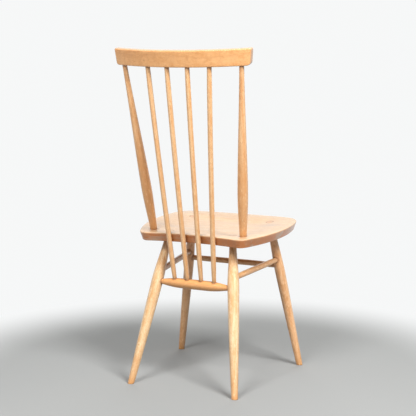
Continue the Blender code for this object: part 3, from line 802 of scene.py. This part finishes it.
def clear_finished(name, pale, middle, ring_width=0.0024, wander=0.010, late=0.5, amber=0.45,
                   patch=0.35, flecks=0.45, joints=(), knots=(), dark=None, late_tone=None,
                   streak=None, side=None, curl=(0.0, 0.0), pale_edge_highlight_and_wear=0.0):
    """Wood under a satin lacquer.

    joints are the places of other pieces that enter this one, and knots are (centre, size).
    streak and side are (colour, share) of mineral streaks and of the band where the attribute
    side is 1. curl is the share of the bands across the grain where that attribute is 0 and
    where it is 1.
    """
    finish = chair().finish
    dark = dark or finish.amber
    late_tone = late_tone or finish.late
    material = new_material(name)
    nodes = Nodes(material.node_tree)
    shader = material.node_tree.nodes["Principled BSDF"].inputs

    def channel(label, output="Fac"):
        return nodes.put("ShaderNodeAttribute", attribute_name=label)[output]

    grain = channel("grain", "Vector")
    place = nodes.put("ShaderNodeTexCoord")["Object"]
    rings = nodes.shared("Growth Rings",
                         {"Grain": grain, "Ring Width": ring_width, "Wander": wander})
    fibre = nodes.shared("Fibres", {"Grain": grain})
    rays = nodes.shared("Ray Flecks", {"Grain": grain, "Density": flecks})
    slow = nodes.shared("Figure", {"Grain": grain})
    layers = [(slow["Cloud"], amber, dark), (slow["Patch"], patch, dark),
              (slow["Mottle"], 0.45, pale)]
    # The side band: end grain on the legs and at the rail's ends, the seat's darker edge with
    # painted shade, and painted shade on the rail's top edge
    if side:
        side_band_share = nodes.ramp(slow["Patch"], 0.0, 1.0, side[1], side[1] * 0.75)
        layers.append((channel("side"), side_band_share, side[0]))
    if any(curl):
        wave = nodes.math("MULTIPLY_ADD", channel("side"), curl[1] - curl[0], curl[0])
        layers.append((slow["Curl"], wave, finish.fleck))
    # The tone mark: real darker tone at the feet, posts and rear stretcher, and painted shade on
    # the legs' necks under the seat and on the front stretcher
    layers += [(rings["Late Wood"], late, late_tone), (channel("tone"), 1.0, finish.amber)]
    if streak:
        layers.append((slow["Streak"], streak[1], streak[0]))
    spots = nodes.math("MULTIPLY_ADD", channel("side"), -0.50, 0.50)
    layers += [(fibre["Fibre"], 0.22, late_tone), (rays["Fleck"], 0.50, finish.fleck),
               (rays["Pale Fleck"], spots, pale)]
    # Paler arrises and seat rim: a painted highlight, with rubbed wear
    if pale_edge_highlight_and_wear:
        layers.append((channel("edge"), pale_edge_highlight_and_wear, pale))
    for centre, width in knots:
        knot = nodes.shared("Pin Knot", {"Place": place, "Centre": centre, "Size": width})
        layers += [(knot["Halo"], 0.35, finish.amber), (knot["Ring"], 0.5, pale),
                   (knot["Eye"], 0.75, finish.joint)]
    base = nodes.tint(rings["Ring Tone"], pale, middle)
    for mask, amount, colour_over in layers:
        base = nodes.tint(nodes.times(mask, amount), base, colour_over)
    # The joint mark is old dirt, plus painted shade on the legs' necks under the seat and on the
    # posts and spindles under the rail
    dirt = nodes.times(channel("joint"), 0.7)
    line = None
    for joint in joints:
        ring = nodes.shared("Joint Ring", {"Place": place, **joint})
        dirt = nodes.math("MAXIMUM", dirt, nodes.times(ring["Dirt"], 0.65))
        line = nodes.math("MAXIMUM", line, ring["Line"]) if line else ring["Line"]
    # Old dirt and painted shade are multiplied into the colour here
    base = nodes.tint(dirt, base, finish.dirt, "MULTIPLY")
    relief = nodes.math("MULTIPLY_ADD", fibre["Pore"], -0.8, fibre["Fibre"])
    relief = nodes.math("MULTIPLY_ADD", rings["Late Wood"], 0.6, relief)
    if line:
        base = nodes.tint(nodes.times(line, 0.6), base, finish.joint)
        relief = nodes.math("MULTIPLY_ADD", line, -3.0, relief)
    dull = nodes.math("MULTIPLY_ADD", fibre["Fibre"], 0.10, finish.roughness - 0.04)
    nodes.feed(shader["Base Color"], base)
    nodes.feed(shader["Roughness"], nodes.math("MULTIPLY_ADD", dirt, 0.15, dull))
    nodes.feed(shader["Normal"], nodes.put("ShaderNodeBump", {
        "Height": relief, "Distance": GRAIN_RELIEF, "Strength": 1.0})[0])
    shader["Coat Weight"].default_value = finish.coat
    shader["Coat Roughness"].default_value = finish.coat_roughness
    shader["IOR"].default_value = 1.5
    return material


def joint_of(start, axis, length, diameter, reach=0.006):
    """A round tenon's axis from this point on, its radius, and how far old dirt and painted shade
    reach.
    """
    return {"Centre": tuple(start), "Axis": tuple(unit(axis)), "Length": length,
            "Radius": diameter / 2, "Reach": reach}


def spindle_joints(at_rail, back_off, length, reach):
    """The joints of the left spindles in the rail or in the rear stretcher."""
    back, joints = chair().back, []
    for index in (0, 1):
        low, high = spindle_line(index, 1)
        start = (high if at_rail else low) - unit(high - low) * back_off
        width = (back.spindle_top_d if at_rail else back.spindle_foot_d) + 0.0006
        joints.append(joint_of(start, high - low, length, width, reach))
    return joints


def leg_material(rear):
    """Honey wood with the rings of the two stretchers that enter this leg."""
    sizes, finish = chair().stretchers, chair().finish
    side_low = on_leg(1, True, sizes.side_rear_height)
    side_high = on_leg(1, False, sizes.side_front_height)
    mouth = side_low if rear else side_high
    cross = on_leg(1, rear, sizes.rear_height if rear else sizes.front_height)
    joints = (
        joint_of(mouth, side_low + side_high - 2 * mouth, 0.04, sizes.slim_end_d),
        joint_of(cross, -ACROSS, 0.04, sizes.rear_end_d if rear else sizes.slim_end_d),
    )
    end = (finish.end_grain_and_rail_top_shade, 1.0)
    if rear:
        return clear_finished("Rear Leg Wood", finish.leg_pale, finish.leg_middle, joints=joints,
                              knots=(LEG_SPECK,), side=end)
    return clear_finished("Front Leg Wood", finish.front_pale, finish.front_middle,
                          joints=joints, side=end)


# Pieces

def make_leg(hand, rear, number):
    """One leg: a circle carried up its axis, from the rounded foot to the tenon's flush top.

    Below the belly the radius grows by the mean of a straight line and a sine, and above it
    shrinks by an S curve to the neck. Rings near the floor and the seat lie in their planes.
    """
    legs, seat = chair().legs, chair().seat
    foot, head = leg_axis(hand, rear)
    along = unit(head - foot)
    belly_d, neck_d = of_leg(rear, "belly"), of_leg(rear, "neck")
    under = head - along * seat.thickness / (along @ seat_normal()) * seat_normal()[2]
    shoulder = np.linalg.norm(under - foot) - NECK_SHY
    belly = legs.belly_height / along[2]
    sine, turn = quarter(EDGE_RINGS)
    rim, base = legs.chamfer, legs.foot / 2
    growth, narrow = np.linspace(0, 1, 70)[1:], np.linspace(0, 1, 46)[1:]
    runs = np.concatenate((
        [0, 0, 0], rim * turn / along[2], mix(rim / along[2], belly, growth),
        mix(belly, shoulder, narrow),
        np.linspace(shoulder, np.linalg.norm(head - foot) - CAP_DEPTH, EDGE_RINGS)))
    radii = np.concatenate((
        np.array((0.3, 0.6, 1)) * (base - rim), base - rim + rim * sine,
        mix(legs.foot, belly_d, (growth + np.sin(growth * math.pi / 2)) / 2) / 2,
        mix(belly_d, neck_d, smooth(narrow)) / 2, np.full(EDGE_RINGS, legs.tenon / 2)))
    level = smooth(1 - runs / FOOT_EASE)
    square = smooth(1 - np.abs(runs - shoulder) / NECK_EASE)
    rings, grain = carry_circle(foot + along * runs[:, None], along, radii, ACROSS,
                                chair().leg_sides, ((UP, level), (seat_normal(), square)))
    centre = foot + along * runs[-1]
    flat = centre + (rings[-1] - centre) * CAP_SHARES[:, None, None]
    cap = lay_on_seat(flat, along, CAP_PROUD[:, None])
    spread = np.stack((CAP_SHARES, CAP_SHARES, np.ones(len(CAP_SHARES))), axis=-1)
    cap_grain = grain[-1] * spread[:, None]
    cap_grain[..., 2] += np.linalg.norm(cap - flat, axis=-1)
    rings = np.concatenate((rings, cap))
    grain = np.concatenate((grain, cap_grain))
    run = grain[..., 2]
    rim_tone, foot_tone = near(run, (0.0,), 0.004), near(run, (0.0,), 0.060)
    # Painted shade: amber on the neck, fading over 30 mm down from the seat, where the seat shades
    # the leg
    neck_painted_shade = near(run, (shoulder,), 0.030)
    return ring_mesh(
        "leg", rings, grain=billet(grain, number), side=(run > shoulder + CUT_END) * 0.9,
        # Old dirt with painted shade just under the seat
        joint=near(run, (shoulder,), LEG_DIRT_AND_SHADE) * (run < shoulder + 0.002),
        tone=0.2 * rim_tone + 0.8 * foot_tone + 0.6 * neck_painted_shade)


def make_wedge(hand, rear):
    """The strip in a tenon's kerf: a thin rounded rectangle carried up, its top on the dish."""
    legs = chair().legs
    foot, head = leg_axis(hand, rear)
    along = unit(head - foot)
    across = unit(ACROSS - along * along[0])
    depthways = np.cross(along, across)
    radius = legs.tenon / 2 * WEDGE_FIT
    half = np.array((legs.wedge / 2, math.sqrt(radius ** 2 - (legs.wedge / 2) ** 2)))
    turn = np.linspace(0, 2 * math.pi, 40, endpoint=False)
    wave = np.stack((np.cos(turn), np.sin(turn)), axis=-1)
    section = np.sign(wave) * np.abs(wave) ** WEDGE_SQUARENESS * half
    spokes = section[:, :1] * across + section[:, 1:] * depthways
    depths = np.linspace(-legs.wedge_depth, -WEDGE_BODY_TOP, 5)
    body = (head + along * depths[:, None])[:, None] + spokes[None]
    flat = head - along * WEDGE_CAP_PLANE + spokes[None] * WEDGE_SHARES[:, None, None]
    rings = np.concatenate((body, lay_on_seat(flat, along, WEDGE_PROUD[:, None])))
    arm = rings - head
    grain = np.stack((arm @ across, arm @ depthways, arm @ along), axis=-1)
    return ring_mesh("wedge", rings, grain=billet(grain, 71))


def make_stretcher(start, end, middle_d, end_d, number, tone):
    """A circle carried between two legs; each end grows by a sine over its swelling length."""
    sizes, legs = chair().stretchers, chair().legs
    along = unit(end - start)
    low = start - along * sizes.past_axis
    length = np.linalg.norm(end - start) + 2 * sizes.past_axis
    inside = sizes.past_axis + legs.rear_belly / 2
    way = np.linspace(0, 1, 110)
    grown = np.clip(np.minimum(way, 1 - way) / sizes.grow, 0, 1)
    runs = np.concatenate(([0.0], mix(inside, length - inside, way), [length]))
    radii = mix(end_d, middle_d, np.sin(grown * math.pi / 2)) / 2
    radii = np.concatenate(([end_d / 2], radii, [end_d / 2]))
    rings, grain = carry_circle(low + along * runs[:, None], along, radii, UP,
                                chair().slim_sides)
    mouth = inside - STRETCHER_DIRT
    joint = near(grain[..., 2], (mouth, length - mouth), STRETCHER_DIRT)
    return ring_mesh("stretcher", rings, grain=billet(grain, number), joint=joint, tone=tone)


def make_post(hand, number, tone):
    """A circle carried from the seat to the rail.

    The radius grows to the belly by a sine to the power 1.3, and shrinks above it by 0.4 of a
    straight line and 0.6 of an S curve.
    """
    sizes = chair().back
    base = point(hand * sizes.post_base[0], sizes.post_base[1], chair().seat.height)
    top = rail_points(np.array(hand * sizes.post_top), 0.0, 0.0)
    length = np.linalg.norm(top - base)
    along = (top - base) / length
    belly = length * sizes.post_belly_at
    grow, shrink = np.linspace(0, 1, 40), np.linspace(0, 1, 80)[1:]
    runs = np.concatenate(([-TENON_LOW], belly * grow, mix(belly, length, shrink),
                           [length + POST_TENON_HIGH]))
    narrowed = mix(shrink, smooth(shrink), 0.6)
    radii = np.concatenate((
        [sizes.post_base_d / 2],
        mix(sizes.post_base_d, sizes.post_belly_d, np.sin(grow * math.pi / 2) ** 1.3) / 2,
        mix(sizes.post_belly_d, sizes.post_top_d, narrowed) / 2, [sizes.post_top_d / 2]))
    rings, grain = carry_circle(base + along * runs[:, None], along, radii, ACROSS,
                                chair().leg_sides)
    run = grain[..., 2]
    return ring_mesh(
        "post", rings, grain=billet(grain, number),
        # Old dirt at the seat, and old dirt with painted shade under the rail
        joint=near(run, (TENON_LOW, TENON_LOW + length), BACK_DIRT_AND_SHADE),
        tone=tone * (1 - smooth((run / length - 0.35) / 0.45)))


def make_spindle(index, hand, number):
    """A circle carried along the bowed axis; both ends narrow by an S curve over the taper."""
    sizes, stretchers = chair().back, chair().stretchers
    low, high = spindle_line(index, hand)
    length = np.linalg.norm(high - low)
    first = -(TENON_LOW - stretchers.rear_d / 2) / length
    last = 1 + SPINDLE_TENON_HIGH / length
    way = mix(first, last, np.linspace(0, 1, 150))
    to_foot = smooth(1 - way * length / sizes.spindle_taper)
    to_top = smooth(1 - (1 - way) * length / sizes.spindle_taper)
    radii = (sizes.spindle_d - (sizes.spindle_d - sizes.spindle_foot_d) * to_foot
             - (sizes.spindle_d - sizes.spindle_top_d) * to_top) / 2
    path = spindle_path(low, high, way)
    rings, grain = carry_circle(path, unit(np.gradient(path, axis=0)), radii, ACROSS,
                                chair().slim_sides)
    foot_run = -first * length + stretchers.rear_d / 2
    # Old dirt at the rear stretcher, and old dirt with painted shade under the rail
    joint = near(grain[..., 2], (foot_run, (1 - first) * length), BACK_DIRT_AND_SHADE)
    return ring_mesh("spindle", rings, grain=billet(grain, number), joint=joint)


def rail_section():
    """The rail's upright section as (back, up): four sides and four quarter-round edges."""
    sizes = chair().back
    half, height = sizes.rail_thickness / 2, sizes.rail_height
    upper, lower = sizes.rail_top_round, sizes.rail_bottom_round
    corners = ((half, 0.0, lower, -90), (half, height, upper, 0),
               (-half, height, upper, 90), (-half, 0.0, lower, 180))
    arcs = []
    for back, up, radius, start in corners:
        turn = np.radians(start + np.linspace(0, 90, 9))
        centre = (back - math.copysign(radius, back), up + radius if up == 0 else up - radius)
        arcs.append(np.stack((centre[0] + radius * np.cos(turn),
                              centre[1] + radius * np.sin(turn)), axis=-1))
    between = np.linspace(0, 1, 10)[1:-1, None]
    parts = []
    for arc, following in zip(arcs, arcs[1:] + arcs[:1]):
        parts += [arc, mix(arc[-1], following[0], between)]
    return np.concatenate(parts)


def round_over(distance, radius):
    """radius - sqrt(radius^2 - (radius - distance)^2), and 0 from the radius on."""
    inner = np.clip(radius - distance, 0, radius)
    return radius - np.sqrt(radius ** 2 - inner ** 2)


def make_rail():
    """The section carried along the arc; near its ends the corners lift, drop and thin it."""
    sizes = chair().back
    section = rail_section()
    distance = np.concatenate((sizes.rail_lower * np.linspace(0, 1, 26) ** 2,
                               np.linspace(sizes.rail_lower, sizes.rail_half, 60)[1:]))
    hands = np.concatenate((-np.ones(len(distance)), np.ones(len(distance) - 1)))
    distance = np.concatenate((distance, distance[-2::-1]))
    lift = round_over(distance, sizes.rail_lower)[:, None]
    drop = round_over(distance, sizes.rail_upper)[:, None]
    thin = 1 - round_over(distance, sizes.rail_end_round)[:, None] / (sizes.rail_thickness / 2)
    height = sizes.rail_height
    level = lift + section[:, 1] * (height - lift - drop) / height
    back = section[:, 0] * thin
    skew = sizes.rail_slant * (1 - level / height) + back * math.tan(sizes.rail_turn)
    x = hands[:, None] * (sizes.rail_half - distance)[:, None] * (1 - skew / sizes.rail_half)
    rings = rail_points(x, back, level)
    grain = np.stack((back, level, sizes.rail_radius * np.arcsin(x / sizes.rail_radius)), axis=-1)
    away = np.minimum(height - level, np.minimum(level, distance[:, None]))
    # edge: the paler arrises, a painted highlight with rubbed wear
    edge = np.exp(-away / 0.0025) * np.clip(np.abs(back) * 2 / sizes.rail_thickness, 0, 1) ** 2
    end = smooth(1.3 - distance / 0.0022)[:, None]
    # top: painted shade, 0.6 of the end-grain colour on the rail's upper edge to tone down its
    # bright top
    top = smooth((section[:, 1] / height - 0.945) / 0.05)
    return ring_mesh("rail", rings, grain=grain + RAIL_IN_LOG, edge=edge * (1 - end),
                     side=np.maximum(end, 0.6 * top))


def make_seat():
    """Rings that are the outline drawn in towards the dish's middle, then over the edge.

    On top a ring's share s of the way out gives the height: top plane less the dish of s. The
    edges are quarter turns, the side leans in by the undercut, and the underside is flat.
    """
    seat = chair().seat
    outline = seat_outline()
    rim = inset(outline, seat.top_arris)
    shares = np.concatenate((np.linspace(0.02, 0.94, 62), np.linspace(0.95, 1, 6)))
    sine, turn = quarter(EDGE_RINGS)
    side = seat.thickness - seat.top_arris - seat.lower_arris
    centre = dish_centre()
    # The third column is the paler rim: a painted highlight with rubbed wear, full on the upper
    # edge and fading inward
    table = [(centre + (rim - centre) * s, dish(s), math.exp((s - 1) * 0.2 / 0.007), 0.0)
             for s in shares]
    table += [(inset(outline, seat.top_arris * (1 - s)), seat.top_arris * t, 1.0,
               smooth(t * 2 - 0.6)) for s, t in zip(sine, turn)]
    # The side and lower edge take the full edge colour, partly painted shade of the undercut
    table += [(inset(outline, seat.undercut * way), seat.top_arris + side * way, 0.0, 1.0)
              for way in np.linspace(0, 1, 9)[1:]]
    table += [(inset(outline, seat.undercut + seat.lower_arris * t),
               seat.thickness - seat.lower_arris * (1 - s), 0.0, 1.0)
              for s, t in zip(sine, turn)]
    # The flat underside takes 0.6 of the edge colour
    for s in (0.93, 0.8, 0.6, 0.4, 0.2, 0.05):
        table.append((centre + (table[-1][0] - centre) * s, seat.thickness, 0.0, 0.6))
    plan, drops, edge, band = (np.array(column, float) for column in zip(*table))
    z = seat_top(plan[..., 1]) - drops[:, None]
    deep = -drops[:, None] * np.ones(len(outline))
    grain = np.stack((plan[..., 1], deep, plan[..., 0]), axis=-1) + SEAT_IN_LOG
    return ring_mesh("seat", np.concatenate((plan, z[..., None]), axis=-1), grain=grain,
                     edge=edge[:, None], side=band[:, None])


# Operators

class AddChairSeat(bpy.types.Operator):
    """Add the dished seat plank"""

    bl_idname = "spindle_chair.add_seat"
    bl_label = "Seat"

    def execute(self, context):
        seat, finish, legs, back = chair().seat, chair().finish, chair().legs, chair().back
        joints = []
        for rear in (True, False):
            foot, head = leg_axis(1, rear)
            low = head - unit(head - foot) * 0.04
            joints.append(joint_of(low, head - foot, 0.06, legs.tenon + 0.0004, 0.005))
        low = point(*back.post_base, seat.height - 0.010)
        joints.append(joint_of(low, UP, 0.02, back.post_base_d + 0.0008, 0.007))
        # The side band darkens the edge: its own darker tone with painted shade
        material = clear_finished(
            "Plank Wood", finish.seat_pale, finish.seat_tan, ring_width=0.0056, wander=0.060,
            late=0.60, amber=0.7, patch=0.35, flecks=0.3, joints=joints, dark=finish.seat_tan,
            late_tone=finish.seat_late, streak=(finish.seat_grey, 0.80),
            side=(finish.seat_edge_and_shade, 0.95), curl=(0.0, 0.45), pale_edge_highlight_and_wear=0.4)
        stand_for("seat", "_plank", make_seat(), material)
        return {"FINISHED"}


class AddChairLegs(bpy.types.Operator):
    """Add the four turned legs and the wedges in their tenons"""

    bl_idname = "spindle_chair.add_legs"
    bl_label = "Legs"

    def execute(self, context):
        finish = chair().finish
        wedge_wood = clear_finished("Wedge Wood", finish.seat_late, finish.end_grain_and_rail_top_shade,
                                    flecks=0.1)
        woods = {True: leg_material(True), False: leg_material(False)}
        number = 10
        for rear in (True, False):
            for hand, side in HANDS:
                number += 1
                node = ("rear_" if rear else "front_") + side + "_leg"
                stand_for(node, "_turned", make_leg(hand, rear, number), woods[rear])
                stand_for(node + "_wedge", "_cut", make_wedge(hand, rear), wedge_wood)
        return {"FINISHED"}


class AddChairStretchers(bpy.types.Operator):
    """Add the cigar-shaped rear stretcher and the three slim ones"""

    bl_idname = "spindle_chair.add_stretchers"
    bl_label = "Stretchers"

    def execute(self, context):
        sizes, finish = chair().stretchers, chair().finish
        thick = clear_finished(
            "Rear Stretcher Wood", finish.rail_pale, finish.rail_middle,
            joints=spindle_joints(False, 0.0, 0.03, 0.005), patch=0.5, ring_width=0.0030)
        slim = clear_finished("Slim Stretcher Wood", finish.slim_pale, finish.slim_middle)
        slim_sizes = (sizes.slim_d, sizes.slim_end_d)
        ends = [on_leg(hand, True, sizes.rear_height) for hand in (1, -1)]
        mesh = make_stretcher(*ends, sizes.rear_d, sizes.rear_end_d, 31, 0.35)
        stand_for("rear_stretcher", "_turned", mesh, thick)
        ends = [on_leg(hand, False, sizes.front_height) for hand in (1, -1)]
        # Its tone of 0.25 is painted shade: amber for its place in the shade under the seat
        mesh = make_stretcher(*ends, *slim_sizes, 32, 0.25)
        stand_for("front_stretcher", "_turned", mesh, slim)
        for hand, side in HANDS:
            mesh = make_stretcher(on_leg(hand, True, sizes.side_rear_height),
                                  on_leg(hand, False, sizes.side_front_height),
                                  *slim_sizes, 33 + hand, 0.0)
            stand_for("side_stretcher_" + side, "_turned", mesh, slim)
        return {"FINISHED"}


class AddChairPosts(bpy.types.Operator):
    """Add the two turned back posts"""

    bl_idname = "spindle_chair.add_posts"
    bl_label = "Back Posts"

    def execute(self, context):
        finish = chair().finish
        wood = clear_finished("Post Wood", finish.post_pale, finish.post_middle,
                              ring_width=0.0021, patch=0.3)
        for (hand, side), tone in zip(HANDS, (0.60, 0.50)):
            stand_for("back_post_" + side, "_turned", make_post(hand, 41 + hand, tone), wood)
        return {"FINISHED"}


class AddChairSpindles(bpy.types.Operator):
    """Add the four bowed spindles"""

    bl_idname = "spindle_chair.add_spindles"
    bl_label = "Spindles"

    def execute(self, context):
        finish = chair().finish
        wood = clear_finished("Spindle Wood", finish.slim_pale, finish.slim_middle,
                              ring_width=0.0019, amber=0.3, patch=0.25)
        for number, (index, hand) in enumerate(((1, 1), (0, 1), (0, -1), (1, -1)), start=1):
            stand_for(f"spindle_{number}", "_turned", make_spindle(index, hand, 50 + number),
                      wood)
        return {"FINISHED"}


class AddChairRail(bpy.types.Operator):
    """Add the bent crest rail"""

    bl_idname = "spindle_chair.add_rail"
    bl_label = "Crest Rail"

    def execute(self, context):
        back, finish = chair().back, chair().finish
        knot = tuple(rail_points(np.array(0.0973), back.rail_thickness / 2, 0.0176))
        # The side band is end grain at the rail's ends and painted shade on its top edge
        material = clear_finished(
            "Crest Rail Wood", finish.rail_pale, finish.rail_middle, ring_width=0.0034,
            wander=0.020, late=0.42, amber=0.6, patch=0.8,
            joints=spindle_joints(True, 0.004, 0.007, 0.004), knots=((knot, 0.0020),),
            side=(finish.end_grain_and_rail_top_shade, 1.0), curl=(0.13, 0.0), pale_edge_highlight_and_wear=0.1)
        stand_for("crest_rail", "_bent", make_rail(), material)
        return {"FINISHED"}


class SetChairStage(bpy.types.Operator):
    """Set the pale floor, the soft lamps, the sky and the camera"""

    bl_idname = "spindle_chair.set_stage"
    bl_label = "Stage"

    def execute(self, context):
        stage, scene = chair().stage, context.scene
        scene.view_settings.view_transform = "Standard"
        self.lay_floor(stage)
        self.light_world(stage)
        for name, key, place, width, mirrored in LAMPS:
            self.hang_lamp(name, place, width, getattr(stage, key), mirrored)
        clear_away(bpy.data.objects, "Chair Camera")
        view = bpy.data.cameras.new("Chair Camera")
        view.sensor_fit = "HORIZONTAL"
        view.sensor_width = 36
        view.lens = stage.lens
        camera = link_new("Chair Camera", view)
        turn = (Matrix.Rotation(stage.heading, 4, "Z")
                @ Matrix.Rotation(math.pi / 2 - stage.tilt, 4, "X")
                @ Matrix.Rotation(stage.roll, 4, "Z"))
        camera.matrix_world = Matrix.Translation(Vector(stage.eye)) @ turn
        scene.camera = camera
        return {"FINISHED"}

    def seen_or_mirrored(self, nodes):
        """1 for the camera's own rays and for reflections and clear glass, else 0."""
        path = nodes.put("ShaderNodeLightPath")
        straight = nodes.math("MAXIMUM", path["Is Camera Ray"], path["Is Glossy Ray"])
        return nodes.math("MAXIMUM", straight, path["Is Transmission Ray"])

    def show_backdrop(self, nodes, kind, mask, lit, output):
        """Shows the backdrop's plain colour in place of what is lit, where the mask is 1."""
        plain = nodes.put(kind, {"Color": chair().stage.wall, "Strength": 1.0})[0]
        both = nodes.put("ShaderNodeMixShader", {0: mask, 1: lit.outputs[0], 2: plain})[0]
        nodes.feed(nodes.tree.nodes[output].inputs["Surface"], both)

    def lay_floor(self, stage):
        """A flat square whose pale grey fades to the backdrop's white away from the chair."""
        clear_away(bpy.data.objects, "floor")
        mesh = bpy.data.meshes.new("floor")
        corners = [(x * FLOOR_REACH, y * FLOOR_REACH, 0)
                   for x, y in ((-1, -1), (1, -1), (1, 1), (-1, 1))]
        mesh.from_pydata(corners, [], [(0, 1, 2, 3)])
        floor = link_new("floor", mesh)
        material = new_material("Pale Floor")
        nodes = Nodes(material.node_tree)
        painted = material.node_tree.nodes["Principled BSDF"]
        seen = self.seen_or_mirrored(nodes)
        nodes.feed(painted.inputs["Base Color"], nodes.tint(seen, stage.shade, stage.floor))
        painted.inputs["Roughness"].default_value = 0.85
        painted.inputs["Specular IOR Level"].default_value = 0.1
        away = nodes.vector("LENGTH", nodes.put("ShaderNodeTexCoord")["Object"])
        mask = nodes.times(nodes.ramp(away, *FLOOR_FADE), seen)
        self.show_backdrop(nodes, "ShaderNodeEmission", mask, painted, "Material Output")
        mesh.materials.append(material)

    def light_world(self, stage):
        """An even sky that lights at its strength and is seen as the white backdrop."""
        clear_away(bpy.data.worlds, "Soft Sky")
        world = bpy.data.worlds.new("Soft Sky")
        bpy.context.scene.world = world
        world.use_nodes = True
        nodes = Nodes(world.node_tree)
        sky = world.node_tree.nodes["Background"]
        sky.inputs["Color"].default_value = (1.0, 1.0, 1.0, 1.0)
        sky.inputs["Strength"].default_value = stage.sky
        seen = self.seen_or_mirrored(nodes)
        self.show_backdrop(nodes, "ShaderNodeBackground", seen, sky, "World Output")

    def hang_lamp(self, name, place, width, power, mirrored):
        """A square area lamp turned to the chair's middle, seen in the gloss or not."""
        clear_away(bpy.data.objects, name)
        lamp = bpy.data.lights.new(name, "AREA")
        lamp.size = width
        lamp.energy = power
        holder = link_new(name, lamp)
        holder.location = place
        aim = Vector(CHAIR_MIDDLE) - Vector(place)
        holder.rotation_euler = aim.to_track_quat("-Z", "Y").to_euler()
        holder.visible_glossy = mirrored


class ChairPanel(bpy.types.Panel):
    """Buttons and sizes of the chair"""

    bl_idname = "VIEW3D_PT_spindle_chair"
    bl_label = "Spindle-Back Side Chair"
    bl_space_type = "VIEW_3D"
    bl_region_type = "UI"
    bl_category = "Chair"

    def draw(self, context):
        settings = context.scene.spindle_chair
        for operators, part in BUTTONS:
            box = self.layout.box()
            for operator in operators:
                box.operator(operator.bl_idname)
            group = getattr(settings, part)
            for key in group.bl_rna.properties.keys():
                if key not in ("rna_type", "name"):
                    box.prop(group, key)
        self.layout.prop(settings, "leg_sides")
        self.layout.prop(settings, "slim_sides")


BUTTONS = (
    ((AddChairSeat,), "seat"), ((AddChairLegs,), "legs"), ((AddChairStretchers,), "stretchers"),
    ((AddChairPosts, AddChairSpindles, AddChairRail), "back"), ((SetChairStage,), "stage"),
    ((), "finish"),
)
CLASSES = (
    ChairSeatSizes, ChairLegSizes, ChairBackSizes, ChairStretcherSizes, ChairFinish, ChairStage,
    ChairSettings, AddChairSeat, AddChairLegs, AddChairStretchers, AddChairPosts,
    AddChairSpindles, AddChairRail, SetChairStage, ChairPanel,
)


def register():
    """Makes the classes and the scene's settings known to Blender."""
    for cls in CLASSES:
        bpy.utils.register_class(cls)
    bpy.types.Scene.spindle_chair = PointerProperty(type=ChairSettings)


def unregister():
    """Takes them away again."""
    del bpy.types.Scene.spindle_chair
    for cls in reversed(CLASSES):
        bpy.utils.unregister_class(cls)


def main():
    register()
    bpy.ops.spindle_chair.add_seat()
    bpy.ops.spindle_chair.add_legs()
    bpy.ops.spindle_chair.add_stretchers()
    bpy.ops.spindle_chair.add_posts()
    bpy.ops.spindle_chair.add_spindles()
    bpy.ops.spindle_chair.add_rail()
    bpy.ops.spindle_chair.set_stage()


if __name__ == "__main__":
    main()
